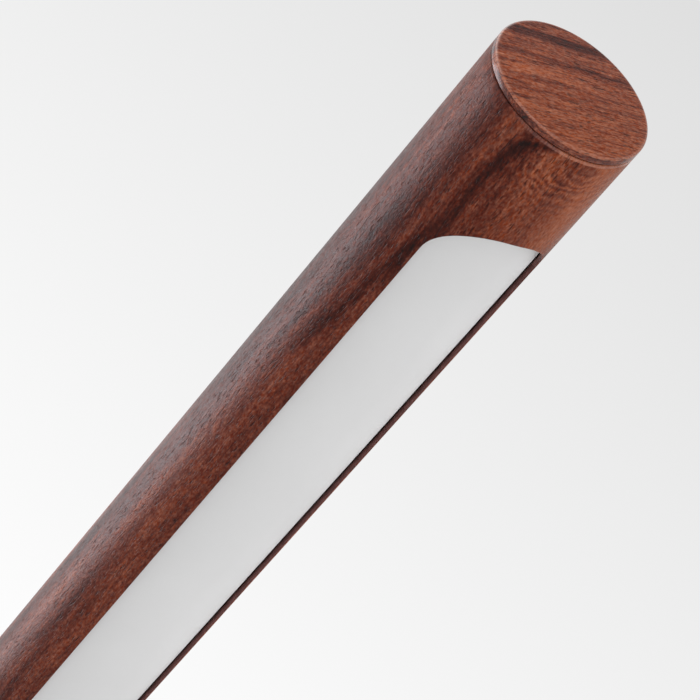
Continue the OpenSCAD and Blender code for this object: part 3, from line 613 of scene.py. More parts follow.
def bar_figure_group():
    """How much darker or lighter the colour is than its mean over the bar, with painted shade on its upper side
    and a painted highlight at its end, and where it is calm or coated.
    """
    tree, given, result = new_group("bar_figure", {"Place": "Vector"}, FIGURE_OUTPUTS)
    place = given["Place"]
    x, y, z = split(tree, place)
    distance = times(tree, x, -1.0)
    angle = calc(tree, "DEGREES", calc(tree, "ARCTAN2", y, times(tree, z, -1.0)))
    angle = layered(tree, angle, noise(tree, place, RAGGED), RAGGED_REACH)
    upper = spread(tree, calc(tree, "ABSOLUTE", angle), *UPPER_SIDE)
    light = times(tree, spread(tree, angle, *LIGHT_RISE), fade(tree, angle, *LIGHT_FALL),
                  spread(tree, distance, *LIGHT_ALONG))
    dark = band(tree, angle, distance, BAND_LINE, BAND_HALF)
    soft = band(tree, angle, distance, SOFT_LINE, SOFT_HALF)
    edge = fade(tree, distance, *END_LINE_REACH)
    shift = 0.0
    for layer, share in (
            (light, LIGHT_SHARE),
            (dark, along(tree, distance, BAND_SHARE, SHARE_RANGE)),
            (soft, along(tree, distance, SOFT_SHARE, SHARE_RANGE)),
            # painted shade on the tube's upper side
            (upper, UPPER_PAINTED_SHADE),
            (knot_rings(tree, place, distance, angle), KNOT_SHARE),
            # a painted highlight along the tube's very end, on its lit side
            (times(tree, light, edge), END_PAINTED_HIGHLIGHT)):
        shift = scaled(tree, layer, share, shift)
    fill(tree, result, {
        "Shift": shift, "Back": upper,
        "Edge": times(tree, edge, spread(tree, angle, *COAT_BY_ANGLE)),
        "Calm": times(tree, spread(tree, angle, *CALM_RISE), fade(tree, distance, *CALM_FALL))})
    return tree


BAR_FIGURE = bar_figure_group()
print("the bar's figure has", len(BAR_FIGURE.nodes), "nodes")

# %% [markdown]
# Bar and post share the wood. The bar takes its figure, and the post, which the
# photograph doesn't show, has stronger bands that run upwards.

# %% Lacquered rosewood
LACQUER_IOR = 1.20
COAT_ROUGH = 0.15
RELIEF = 0.08 * MM
BACK_BANDS = 0.9
BAR_BANDS = 0.7
POST_BANDS = 1.6
POST_LIFT = 0.08
UPRIGHT = rotation(-90, "Y")


def rosewood_material(name, grain, bands, figure=None, lift=0.0):
    """Lacquered rosewood with its grain along the x of a frame."""
    material, tree, shader = new_material(name, IOR=LACQUER_IOR)
    place = own_place(tree, grain)
    sockets = {"Grain": place, "Bands": bands, "Shift": lift}
    if figure:
        drawn_by = place_group(tree, figure, {"Place": place})
        sockets["Shift"] = calc(tree, "ADD", drawn_by["Shift"], lift)
        sockets["Bands"] = scaled(tree, drawn_by["Back"], BACK_BANDS, bands)
        sockets["Calm"] = drawn_by["Calm"]
        fill(tree, shader, {"Coat Roughness": COAT_ROUGH, "Coat Weight": drawn_by["Edge"]})
    wood = place_group(tree, ROSEWOOD, sockets)
    fill(tree, shader, {"Base Color": wood["Color"], "Roughness": wood["Roughness"],
                        "Normal": bump(tree, wood["Height"], RELIEF)})
    return material


bar_wood = rosewood_material("rosewood_bar", BAR_TIP, BAR_BANDS, BAR_FIGURE)
post_wood = rosewood_material("rosewood_post", UPRIGHT, POST_BANDS, lift=POST_LIFT)
print("made", bar_wood.name, "and", post_wood.name)

# %% [markdown]
# ## Pieces
# A piece is finished the same way each time: smooth shading with sharp edges kept, its
# material, the body that it rides on and the node that it stands for. The print
# compares its box with the solid's box.

# %% Piece helpers
SHARP = math.radians(38)


def piece_from(build, name, *materials):
    """An object from a bmesh, with its normals outwards and its shading smooth."""
    bmesh.ops.recalc_face_normals(build, faces=build.faces)
    mesh = bpy.data.meshes.new(name)
    build.to_mesh(mesh)
    build.free()
    mesh.shade_smooth()
    mesh.set_sharp_from_angle(angle=SHARP)
    for material in materials:
        mesh.materials.append(material)
    piece = bpy.data.objects.new(name, mesh)
    scene.collection.objects.link(piece)
    return piece


def stands_for(piece, body, node):
    """Rides the piece on its body in the place of a CAD node, and prints how its box differs."""
    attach(piece, body)
    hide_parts(node)
    bpy.context.view_layer.update()
    sides = zip(zip(*piece.bound_box), *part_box(node))
    off = [max(abs(min(values) - low), abs(max(values) - high)) / MM for values, low, high in sides]
    print(piece.name, len(piece.data.polygons), "faces, off its solid's box by",
          [round(x, 2) for x in off], "mm")


def settle(piece, change):
    """Makes a modifier's result the piece's own mesh."""
    bpy.context.view_layer.update()
    done = bpy.data.meshes.new_from_object(piece.evaluated_get(bpy.context.evaluated_depsgraph_get()))
    piece.modifiers.remove(change)
    old, piece.data = piece.data, done
    bpy.data.meshes.remove(old)


def cut_away(piece, *cutters):
    """Cuts closed shapes out of a piece."""
    for cutter in cutters:
        tool = piece_from(cutter, "cutter")
        change = piece.modifiers.new("cut", "BOOLEAN")
        change.operation = "DIFFERENCE"
        change.solver = "EXACT"
        change.object = tool
        settle(piece, change)
        bpy.data.objects.remove(tool)
    piece.data.set_sharp_from_angle(angle=SHARP)


# %% [markdown]
# ## Turned pieces
# Caps, discs and rings are round about an axis. A profile of radius and height is
# spun into rings of vertices. Its sharp corners are rounded first, because every real
# edge catches a little light.

# %% Turned helpers
CORNER_STEPS = 4
ON_AXIS = 1e-9
LATHE_STEPS = 128
ROD_STEPS = 96


def rounded(points, radii):
    """A profile with some corners rounded: radii gives a corner's number and its radius."""
    made = []
    for number, point in enumerate(points):
        here = Vector(point)
        if number not in radii:
            made.append(here)
            continue
        back = (Vector(points[number - 1]) - here).normalized()
        on = (Vector(points[(number + 1) % len(points)]) - here).normalized()
        half = back.angle(on) / 2
        centre = here + (back + on).normalized() * radii[number] / math.sin(half)
        start = here + back * radii[number] / math.tan(half) - centre
        end = here + on * radii[number] / math.tan(half) - centre
        sweep = start.angle(end)
        for i in range(CORNER_STEPS + 1):
            share = i / CORNER_STEPS
            turn = (start * math.sin((1 - share) * sweep) + end * math.sin(share * sweep)) / math.sin(sweep)
            made.append(centre + turn)
    return made


def turned(matrix, profile, steps=LATHE_STEPS, closed=False):
    """A profile of radius and height spun about z of a frame, as a bmesh."""
    build = bmesh.new()
    rings = []
    for radius, height in profile:
        count = steps if radius > ON_AXIS else 1
        angles = [2 * math.pi * i / steps for i in range(count)]
        rings.append([build.verts.new(matrix @ Vector((radius * math.cos(t), radius * math.sin(t), height)))
                      for t in angles])
    for near, far in zip(rings, rings[1:] + (rings[:1] if closed else [])):
        for i in range(steps):
            j = (i + 1) % steps
            corners = [near[i % len(near)], near[j % len(near)], far[j % len(far)], far[i % len(far)]]
            build.faces.new(list(dict.fromkeys(corners)))
    return build


def rod(matrix, radius, low, high):
    """A closed rod along z of a frame, as a bmesh."""
    return turned(matrix, [(0, low), (radius, low), (radius, high), (0, high)], ROD_STEPS)


# %% [markdown]
# ## The light bar's tube
# The tube is round, with a wall of 0.9 mm, and the slot is cut square through its
# underside. A boolean cut would leave ragged triangles along the slot, so the tube is
# built ring by ring: outside the slot a ring is closed, and along the slot it runs
# from one lip over the top to the other. The slot's outline comes first: two quarter
# arcs and a straight run for one side, mirrored for the other.

# %% Slot outline
SLOT_TAIL = 46 * MM
SLOT_TIP = BAR_FRONT - 24.7 * MM
SLOT_HALF = 12 * MM
SLOT_END_R = 11 * MM
ARC_STEPS = 20
RUN_STEP = 6 * MM


def steps_between(first, last, step):
    """Evenly spaced values from first to last, about a step apart."""
    count = max(1, round(abs(last - first) / step))
    return [first + (last - first) * i / count for i in range(count + 1)]


def slot_arc(middle, normals):
    """Points of a round corner of the slot, each x, y and its outward normal."""
    flat = SLOT_HALF - SLOT_END_R
    return [(middle + SLOT_END_R * nx, flat + SLOT_END_R * ny, nx, ny) for nx, ny in normals]


def slot_side():
    """Points of the slot's +y side from tail to tip, each x, y and its outward normal."""
    tail, tip = SLOT_TAIL + SLOT_END_R, SLOT_TIP - SLOT_END_R
    quarter = [math.radians(90 * i / ARC_STEPS) for i in range(ARC_STEPS + 1)]
    run = [(x, SLOT_HALF, 0.0, 1.0) for x in steps_between(tail, tip, RUN_STEP)[1:-1]]
    return (slot_arc(tail, [(-math.cos(t), math.sin(t)) for t in quarter]) + run
            + slot_arc(tip, [(math.sin(t), math.cos(t)) for t in quarter]))


def both_sides(side):
    """The slot's whole outline: along the +y side and back along the other."""
    return side + [(x, -y, nx, -ny) for x, y, nx, ny in reversed(side)]


side_points = slot_side()
print("the slot's side has", len(side_points), "points")

# %% [markdown]
# Rings of as many vertices are easily joined to a skin of quads. Only where the slot
# begins or ends, an open ring meets a closed one, and a single triangle fills the
# corner.

# %% Rings and skins
AROUND = 160
END_STEP = 2.5 * MM


def ring_round(build, x, radius, first=0.0):
    """Vertices round the bar at x, from one lip over the top to the other, or all round."""
    count = AROUND + 1 if first > 0 else AROUND
    angles = [first + 2 * (math.pi - first) * i / AROUND for i in range(count)]
    return [build.verts.new(BAR @ Vector((x, radius * math.sin(t), -radius * math.cos(t)))) for t in angles]


def plain_run(build, first, last):
    """Closed rings between two places on the tube."""
    return [ring_round(build, x, TUBE_R) for x in steps_between(first, last, END_STEP)[1:-1]]


def join_loops(build, first, second):
    """Faces between two closed loops of as many vertices."""
    pairs = list(zip(first, second))
    return [build.faces.new((a, c, d, b)) for (a, b), (c, d) in zip(pairs, pairs[1:] + pairs[:1])]


def skin(build, rings):
    """Faces between rings; where an open ring meets a closed one, a triangle ends the slot."""
    made = []
    for near, far in zip(rings, rings[1:]):
        for i in range(AROUND):
            j = i + 1
            made.append(build.faces.new((near[i], near[j % len(near)], far[j % len(far)], far[i])))
        if len(near) != len(far):
            opened, closed = (near, far) if len(near) > len(far) else (far, near)
            made.append(build.faces.new((opened[-1], opened[0], closed[0])))
    return made


def slot_loop(rings):
    """The loop of vertices where open rings end along the slot."""
    return [ring[0] for ring in rings] + [ring[-1] for ring in reversed(rings)]


# %% [markdown]
# The tube is an outer and an inner skin, joined by the slot's wall and by both ends.
# Its lip and its ends are rounded by a few small steps, as they are after sanding and
# lacquering. A bevel modifier would round them too, but here every point of the lip
# is known, so the steps are built with the rest.

# %% The slotted tube
LIP = 0.12 * MM
LIP_STEPS = 3
LIP_ARC = [math.radians(90 * i / LIP_STEPS) for i in range(LIP_STEPS + 1)]
END_EDGE = 0.3 * MM
CAP_DEPTH = 1.75 * MM


def slotted_tube(side):
    """The bar's tube: outer skin, inner skin, slot wall and both ends."""
    build = bmesh.new()
    tail, tip = CAP_DEPTH - BAR_TAIL, BAR_FRONT - CAP_DEPTH
    rims = [(END_EDGE * math.sin(t), TUBE_R - END_EDGE * (1 - math.cos(t))) for t in LIP_ARC]
    tail_rings = [ring_round(build, tail + END_EDGE - out, radius) for out, radius in reversed(rims)]
    tail_run = plain_run(build, tail + END_EDGE, SLOT_TAIL - LIP)
    lip_rings = [ring_round(build, x + LIP * nx, TUBE_R, math.asin((y + LIP * ny) / TUBE_R))
                 for x, y, nx, ny in side]
    tip_run = plain_run(build, SLOT_TIP + LIP, tip - END_EDGE)
    tip_rings = [ring_round(build, tip - END_EDGE + out, radius) for out, radius in rims]
    skin(build, tail_rings + tail_run + lip_rings + tip_run + tip_rings)
    bore_ends = [ring_round(build, x, BORE_R) for x in (tail, tip)]
    bore_rings = [ring_round(build, x, BORE_R, math.asin(y / BORE_R)) for x, y, nx, ny in side]
    inside = skin(build, [bore_ends[0]] + bore_rings + [bore_ends[1]])
    loop = slot_loop(lip_rings)
    for t in LIP_ARC[1:]:
        rise, out = LIP * (1 - math.cos(t)), LIP * (1 - math.sin(t))
        below = []
        for x, y, nx, ny in both_sides(side):
            z = rise - math.sqrt(TUBE_R ** 2 - (y + LIP * ny) ** 2)
            below.append(build.verts.new(BAR @ Vector((x + out * nx, y + out * ny, z))))
        join_loops(build, loop, below)
        loop = below
    inside += join_loops(build, loop, slot_loop(bore_rings))
    inside += join_loops(build, tail_rings[0], bore_ends[0])
    inside += join_loops(build, tip_rings[-1], bore_ends[1])
    for face in inside:
        face.material_index = 1
    return build


tube_shell = slotted_tube(side_points)
print("the tube has", len(tube_shell.faces), "faces")

# %% [markdown]
# The cut edge of the slot shows as a narrow brown strip beside the diffuser. It has
# the same lacquer, but not the figure of the outside, so the faces of the slot's wall
# and of the bore take a second, plainer material. Last, two holes are cut for the
# tilt joint: its boss on the post's side and its plug on the other.

# %% Cut edge and holes
HUB_HOLE_R = 12.1 * MM
PLUG_HOLE_R = 10.1 * MM
TO_SIDE = rotation(-90, "X")
CUTTER_REACH = 2 * TUBE_R
CUT_SPECKLE = (0.6, 0.6, 3.0)
CUT_BROWNS = ((0.120, 0.054, 0.049), (0.180, 0.080, 0.072))
CUT_ROUGH = (0.42, 0.55)


def cut_edge_material():
    """The lacquered cut edge: speckled brown without bands."""
    material, tree, shader = new_material("rosewood_cut_edge", IOR=LACQUER_IOR)
    speckle = noise(tree, own_place(tree), CUT_SPECKLE)
    fill(tree, shader, {"Base Color": two_tone(tree, speckle, *CUT_BROWNS),
                        "Roughness": spread(tree, speckle, *NOISE_RANGE, *CUT_ROUGH)})
    return material


light_tube = piece_from(tube_shell, "light_tube", bar_wood, cut_edge_material())
cut_away(light_tube, rod(BAR @ TO_SIDE, HUB_HOLE_R, 0, CUTTER_REACH),
         rod(BAR @ TO_SIDE, PLUG_HOLE_R, -CUTTER_REACH, 0))
stands_for(light_tube, "light_bar", "bar_tube")

# %% [markdown]
# ## The diffuser
# The diffuser is a strip of milky acrylic, drawn through a die, that slides into the
# tube before its tip is closed. It runs on behind the slot's round ends, so its own
# square ends never show. Its face lies just inside the tube, and a leg with a foot on
# each side hooks under the LED tray. One section, drawn along the bar, makes it all.
# Light is painted into the milk's colour: it grows lighter across the strip, towards the post's side.

# %% Diffuser
DIFFUSER_LEVEL = 9.4 * MM
DIFFUSER_GAP = 0.35 * MM
DIFFUSER_PAST = 6 * MM
DIFFUSER_THICK = 1.8 * MM
DIFFUSER_EDGE = 0.2 * MM
LEG = 1.2 * MM
RAIL_LEVEL = 3.8 * MM
FOOT_ROOM = 0.3 * MM
MILK_IOR = 1.3
MILK_CLOUD = (0.03, 0.03, 2.0)
MILK_CLOUD_SHARE = 0.3
# The middle and the stops below paint light into the milk's colour: lighter towards the post's side.
MILK_PAINTED_LIGHT_MIDDLE = 0.2
MILK_PAINTED_LIGHT_STOPS = [(0.0, (0.775, 0.775, 0.77)), (0.60, (0.87, 0.87, 0.865)), (0.80, (0.93, 0.93, 0.925))]
MILK_ROUGH = (0.50, 0.60)


def bore_half(level):
    """Half the width of the bore at a level under the bar's axis."""
    return math.sqrt(BORE_R ** 2 - level ** 2)


def diffuser_section():
    """The strip's section as y and z, with its two front edges rounded."""
    half = bore_half(DIFFUSER_LEVEL) - DIFFUSER_GAP
    foot_level = RAIL_LEVEL + LEG
    foot_half = bore_half(foot_level) - FOOT_ROOM
    right = [(half, -DIFFUSER_LEVEL), (half, -foot_level), (foot_half, -foot_level), (foot_half, -RAIL_LEVEL),
             (half - LEG, -RAIL_LEVEL), (half - LEG, DIFFUSER_THICK - DIFFUSER_LEVEL)]
    whole = right + [(-y, z) for y, z in reversed(right)]
    return rounded(whole, {0: DIFFUSER_EDGE, len(whole) - 1: DIFFUSER_EDGE})


def drawn(matrix, section, low, high):
    """A section of y and z drawn along x of a frame, as a bmesh."""
    build = bmesh.new()
    ends = [[build.verts.new(matrix @ Vector((x, y, z))) for y, z in section] for x in (low, high)]
    join_loops(build, *ends)
    for end in ends:
        build.faces.new(end)
    return build


def milk_material():
    """Milky acrylic: nearly white, matt, with the faintest cloud in it, and painted light that grows towards the
    post's side.
    """
    material, tree, shader = new_material("milk_diffuser", IOR=MILK_IOR)
    place = own_place(tree, BAR)
    cloud = noise(tree, place, MILK_CLOUD)
    # painted light: the colour grows lighter across the strip towards the post's side
    painted_light_and_cloud = scaled(tree, split(tree, place)["Y"], MM / (2 * SLOT_HALF), MILK_PAINTED_LIGHT_MIDDLE)
    painted_light_and_cloud = scaled(tree, cloud, MILK_CLOUD_SHARE, painted_light_and_cloud)
    fill(tree, shader, {"Base Color": ramp(tree, painted_light_and_cloud, MILK_PAINTED_LIGHT_STOPS),
                        "Roughness": spread(tree, cloud, *NOISE_RANGE, *MILK_ROUGH)})
    return material


strip = piece_from(drawn(BAR, diffuser_section(), SLOT_TAIL - DIFFUSER_PAST, SLOT_TIP + DIFFUSER_PAST),
                   "diffuser_strip", milk_material())
stands_for(strip, "light_bar", "diffuser")

# %% [markdown]
# ## End caps
# A flush disc with a spigot closes each tube, and a fine dark joint shows under it.
# Here the grain runs straight across: two greyish stripes near the upper edge, finer
# lines and short dashes below. A colour ramp across the disc holds the stripes, and
# noise makes them waver. The rim is darker than the face, and the edge between them
# is painted paler as a highlight, with a coat of lacquer over it.

# %% Stripes across a disc
STRIPES = [(0.00, 0.15), (0.09, 0.10), (0.115, -0.20), (0.15, -0.20), (0.19, 0.14), (0.29, 0.20),
           (0.315, -0.08), (0.34, 0.00), (0.37, 0.24), (0.48, 0.22), (0.50, 0.12), (0.52, 0.24),
           (0.58, 0.22), (0.595, 0.10), (0.61, 0.22), (0.68, 0.24), (0.695, 0.14), (0.71, 0.27),
           (0.79, 0.26), (0.805, 0.16), (0.82, 0.27), (1.00, 0.26)]
MID_TONE = 0.5
STRIPE_WAVES = (0.07, 0.25, 3.0)
WAVE_REACH = 3.2
BROAD_LINES = (0.06, 1.5, 2.0)
BROAD_SHARE = 0.30
THIN_LINES = (0.16, 3.4, 2.0)
THIN_SHARE = 0.45
DASHES = (0.10, 2.2, 2.0)
DASH_LEVELS = (0.54, 0.64)
DASH_SHIFT = -0.20
RIM_DEPTHS = (0.25, 0.40)
RIM_SHIFT = -0.22
RIM_COAT = 0.35
# The edge between face and rim: a painted highlight lightens its colour, and a coat lies over it.
EDGE_RADII = (TUBE_R / MM - 0.6, TUBE_R / MM - 0.3)
EDGE_DEPTHS = (0.2, 0.4)
EDGE_PAINTED_HIGHLIGHT = 0.12


def disc_figure_group():
    """The stripes across a cap, along the z of its grain frame, its dark rim, and a painted highlight on its edge.
    """
    tree, given, result = new_group("disc_figure", {"Place": "Vector"}, FIGURE_OUTPUTS)
    place = given["Place"]
    x, y, z = split(tree, place)
    across = layered(tree, z, noise(tree, place, STRIPE_WAVES), WAVE_REACH)
    share = spread(tree, across, -TUBE_R / MM, TUBE_R / MM, way="LINEAR")
    tone = ramp(tree, share, [(stop, (MID_TONE + shift,) * 3) for stop, shift in STRIPES])
    depth = calc(tree, "ABSOLUTE", y)
    rim = spread(tree, depth, *RIM_DEPTHS)
    edge = times(tree, spread(tree, length(tree, x, z), *EDGE_RADII), fade(tree, depth, *EDGE_DEPTHS))
    dashes = spread(tree, noise(tree, place, DASHES), *DASH_LEVELS)
    for layer, weight in ((rim, RIM_SHIFT), (edge, EDGE_PAINTED_HIGHLIGHT), (dashes, DASH_SHIFT)):
        tone = scaled(tree, layer, weight, tone)
    for lines, weight in ((BROAD_LINES, BROAD_SHARE), (THIN_LINES, THIN_SHARE)):
        tone = layered(tree, tone, noise(tree, place, lines), weight)
    fill(tree, result, {"Shift": calc(tree, "SUBTRACT", tone, MID_TONE), "Back": rim,
                        "Edge": scaled(tree, rim, RIM_COAT, edge)})
    return tree


DISC_FIGURE = disc_figure_group()
print("a disc has", len(STRIPES), "stops across its stripes")

# %% [markdown]
# The three caps have one profile. Each needs its own place, its own direction of grain
# and its own material, because the stripes are counted from the cap's own centre.

# %% The three caps
CAP_DISC = 1.5 * MM
CAP_EDGE = 0.3 * MM
CAP_BACK_EDGE = 0.15 * MM
REVEAL_R = TUBE_R - 0.4 * MM
SPIGOT_R = BORE_R - 0.1 * MM
SPIGOT_BORE_R = SPIGOT_R - 2 * MM
SPIGOT_END = -CAP_DEPTH - 7 * MM
CAP_PROFILE = rounded(
    [(0, 0), (TUBE_R, 0), (TUBE_R, -CAP_DISC), (REVEAL_R, -CAP_DISC), (REVEAL_R, -CAP_DEPTH),
     (SPIGOT_R, -CAP_DEPTH), (SPIGOT_R, SPIGOT_END), (SPIGOT_BORE_R, SPIGOT_END), (SPIGOT_BORE_R, -CAP_DEPTH),
     (0, -CAP_DEPTH)],
    {1: CAP_EDGE, 2: CAP_BACK_EDGE})
DISC_BANDS = 0.3
DISC_LIFT = 0.03
FORWARDS = rotation(90, "Y")
BACKWARDS = rotation(-90, "Y")
GRAIN_DOWN = Matrix(((0, 1, 0, 0), (1, 0, 0, 0), (0, 0, -1, 0), (0, 0, 0, 1)))
GRAIN_UP = rotation(180, "X") @ GRAIN_DOWN
GRAIN_FLAT = rotation(90, "X")
POST_TOP = Matrix.Translation((0, 0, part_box("post_cap")[1].z))

for name, end, turn, grain, body, node in (
        ("tip_disc", BAR_TIP, FORWARDS, GRAIN_DOWN, "light_bar", "tip_cap"),
        ("tail_disc", BAR_END, BACKWARDS, GRAIN_UP, "light_bar", "tail_cap"),
        ("post_disc", POST_TOP, Matrix(), GRAIN_FLAT, "post", "post_cap")):
    disc_wood = rosewood_material("rosewood_" + name, end @ grain, DISC_BANDS, DISC_FIGURE, DISC_LIFT)
    cap = piece_from(turned(end @ turn, CAP_PROFILE), name, disc_wood)
    stands_for(cap, body, node)

# %% [markdown]
# ## The post's tube
# The post is the same tube, without a slot, so it can be spun from a closed profile
# and then drilled: for the boss and the plug of the tilt joint, and for the two grub
# screws that hold it on its foot.

# %% Post tube
SCREW_HOLE_R = 2.6 * MM
SCREW_LEVELS = (42.9 * MM, 53.9 * MM)


def post_tube():
    """A plain tube between the collar and the cap, with rounded outer rims."""
    low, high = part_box("post_tube")[0].z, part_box("post_tube")[1].z
    corners = [(TUBE_R, low), (TUBE_R, high), (BORE_R, high), (BORE_R, low)]
    return turned(Matrix(), rounded(corners, {0: END_EDGE, 1: END_EDGE}), closed=True)


post = piece_from(post_tube(), "post_sleeve", post_wood)
screw_holes = [rod(Matrix.Translation((0, 0, z)) @ BACKWARDS, SCREW_HOLE_R, 0, CUTTER_REACH)
               for z in SCREW_LEVELS]
cut_away(post, rod(POST @ TO_SIDE, HUB_HOLE_R, -CUTTER_REACH, 0),
         rod(POST @ TO_SIDE, PLUG_HOLE_R, 0, CUTTER_REACH), *screw_holes)
stands_for(post, "post", "post_tube")

# %% [markdown]
# ## Coats, castings and mouldings
# The base has a fine black powder coat, the joint's pieces a smoother satin black, the
# weight is rough cast iron, and the plastics have a faint moulded texture. What they
# share is fine specks over broad clouds, so one group makes both, and each material
# sets the size of its specks, its colours, its roughness and the depth of its bump.

# %% The speckle group
FINE_CELLS = (1, 1, 3.0)
CLOUD_CELLS = (0.045, 0.045, 3.0)
FINE_SHARE = 0.6
TONE_RANGE = (0.2, 0.8)
SPECK_ROUGH = 0.06


def speckle_group():
    """Fine specks of a given size in millimetres, and broad clouds."""
    inputs = {"Place": "Vector", "Size": "Float"}
    tree, given, result = new_group("speckle", inputs, {"Fine": "Float", "Broad": "Float"})
    finer = {0: given["Place"], "Scale": calc(tree, "DIVIDE", 1.0, given["Size"])}
    close = put(tree, "ShaderNodeVectorMath", finer, operation="SCALE")[0]
    fill(tree, result, {"Fine": noise(tree, close, FINE_CELLS),
                        "Broad": noise(tree, given["Place"], CLOUD_CELLS)})
    return tree


SPECKLE = speckle_group()


def speckled(name, size, low, high, rough, depth, metallic=0.0):
    """A coat, casting or moulding, with clouds and specks in colour, roughness and height."""
    material, tree, shader = new_material(name, Metallic=metallic)
    specks = place_group(tree, SPECKLE, {"Place": own_place(tree), "Size": size})
    tone = layered(tree, specks["Broad"], specks["Fine"], FINE_SHARE)
    fill(tree, shader, {
        "Base Color": two_tone(tree, tone, low, high),
        "Roughness": spread(tree, tone, *TONE_RANGE, rough - SPECK_ROUGH, rough + SPECK_ROUGH),
        "Normal": bump(tree, specks["Fine"], depth)})
    return material


print("the speckle group has", len(SPECKLE.nodes), "nodes")

# %% [markdown]
# These finishes differ only in numbers, so each is a row of a table: the size of its
# specks in millimetres, its darker and its lighter colour, its roughness, the depth of
# its bump and, for bare metal, how metallic it is.

# %% Speckled finishes
SPECKLED = (
    ("base_coat", 0.55, (0.014, 0.014, 0.015), (0.022, 0.022, 0.023), 0.50, 0.10 * MM),
    ("hub_metal", 0.30, (0.013, 0.013, 0.014), (0.020, 0.020, 0.021), 0.40, 0.02 * MM),
    ("cast_weight", 1.2, (0.030, 0.030, 0.032), (0.070, 0.070, 0.074), 0.62, 0.40 * MM, 0.6),
    ("grip_rubber", 0.4, (0.026, 0.026, 0.027), (0.044, 0.044, 0.045), 0.75, 0.06 * MM),
    ("socket_plastic", 0.3, (0.010, 0.010, 0.011), (0.017, 0.017, 0.018), 0.48, 0.03 * MM),
    ("lead_jacket", 0.6, (0.010, 0.010, 0.010), (0.018, 0.018, 0.018), 0.42, 0.02 * MM),
    ("nylon", 0.5, (0.66, 0.64, 0.56), (0.74, 0.72, 0.65), 0.45, 0.02 * MM),
    ("friction_fibre", 0.7, (0.060, 0.034, 0.018), (0.150, 0.090, 0.050), 0.75, 0.05 * MM),
    ("steel_hardware", 1.5, (0.50, 0.52, 0.55), (0.66, 0.66, 0.64), 0.30, 0.01 * MM, 1.0),
)
finishes = {row[0]: speckled(*row) for row in SPECKLED}
print(len(finishes), "speckled finishes")

# %% [markdown]
# ## Drawn and spun metal
# The LED tray, the blocks and the bottom plate are drawn or rolled, so their fine
# lines run one way. The button's face was faced on a lathe, so its lines are rings.
# Both are the same thin noise: along a straight x, or along the radius.

# %% The line group
LINE_CELLS = (0.03, 5.0, 3.0)
LINE_ROUGH = 0.08


def line_group():
    """Fine lines along x, from coordinates in millimetres."""
    tree, given, result = new_group("fine_lines", {"Place": "Vector"}, {"Lines": "Float"})
    fill(tree, result, {"Lines": noise(tree, given["Place"], LINE_CELLS)})
    return tree


FINE_LINES = line_group()


def lined_metal(name, place_from, low, high, rough, depth):
    """Bare metal with fine lines, whose place comes from a function of the tree."""
    material, tree, shader = new_material(name, Metallic=1.0)
    lines = place_group(tree, FINE_LINES, {"Place": place_from(tree)})["Lines"]
    fill(tree, shader, {
        "Base Color": two_tone(tree, lines, low, high),
        "Roughness": spread(tree, lines, *NOISE_RANGE, rough - LINE_ROUGH, rough + LINE_ROUGH),
        "Normal": bump(tree, lines, depth)})
    return material


def along_bar(tree):
    """A place whose x runs along the bar."""
    return own_place(tree, BAR)


def button_rings(tree):
    """A place whose y is the distance from the button's axis, so that lines run round it."""
    low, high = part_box("power_button")
    x, y, z = split(tree, own_place(tree, Matrix.Translation((low + high) / 2)))
    return put(tree, "ShaderNodeCombineXYZ", {0: x, 1: length(tree, x, y)})[0]


for row in (
        ("bare_aluminium", along_bar, (0.68, 0.69, 0.71), (0.80, 0.81, 0.82), 0.34, 0.01 * MM),
        ("steel_plate", own_place, (0.48, 0.50, 0.53), (0.62, 0.63, 0.64), 0.38, 0.01 * MM),
        ("button_aluminium", button_rings, (0.62, 0.63, 0.65), (0.76, 0.77, 0.78), 0.30, 0.015 * MM)):
    finishes[row[0]] = lined_metal(*row)
    print("made", row[0])

# %% [markdown]
# ## Circuit boards
# The LED board is white solder mask with a bright pad on each side of every chip: the
# distance to the nearest chip is a folded coordinate. The control board is green, and
# square rings round scattered points stand for its traces.

# %% Boards
CHIP_PITCH = 10.0
CHIP_START = 42.3
PAD_NEAR = 1.9
PAD_FAR = 2.7
PAD_HALF = 1.3
SOFT_EDGE = 0.1
WHITE_MASK = (0.82, 0.82, 0.79, 1)
TINNED = (0.70, 0.66, 0.55, 1)
TRACE_CELLS = 0.12
TRACE_PITCH = 0.08
TRACE_STOPS = [(0.045, (0.030, 0.140, 0.055)), (0.055, (0.012, 0.070, 0.028))]


def led_board_material():
    """White mask with tinned pads beside each chip."""
    material, tree, shader = new_material("led_board", Roughness=0.45)
    x, y, z = split(tree, own_place(tree, BAR))
    near = calc(tree, "PINGPONG", calc(tree, "SUBTRACT", x, CHIP_START), CHIP_PITCH / 2)
    pad = times(tree, spread(tree, near, PAD_NEAR - SOFT_EDGE, PAD_NEAR),
                fade(tree, near, PAD_FAR, PAD_FAR + SOFT_EDGE),
                fade(tree, calc(tree, "ABSOLUTE", y), PAD_HALF, PAD_HALF + SOFT_EDGE))
    fill(tree, shader, {"Base Color": mix(tree, pad, WHITE_MASK, TINNED), "Metallic": pad})
    return material


def circuit_board_material():
    """Green mask with lighter traces."""
    material, tree, shader = new_material("circuit_board", Roughness=0.4)
    scattered = {"Vector": own_place(tree), "Scale": TRACE_CELLS}
    cells = put(tree, "ShaderNodeTexVoronoi", scattered, distance="CHEBYCHEV")
    rings = calc(tree, "PINGPONG", cells["Distance"], TRACE_PITCH)
    fill(tree, shader, {"Base Color": ramp(tree, rings, TRACE_STOPS)})
    return material


finishes["led_board"] = led_board_material()
finishes["circuit_board"] = circuit_board_material()
print(len(finishes), "finishes in all")

# %% [markdown]
# ## What repeats
# The LED chips stand in a row, and the socket's ring nut has a knurl of small ribs.
# Copies in a loop would do, but Geometry Nodes keep the rule in one place: points on
# a line or a circle, one small shape on each point, and the copies made real at the
# end, because an export drops instances. The sizes are inputs of the tree.

# %% Geometry node helpers


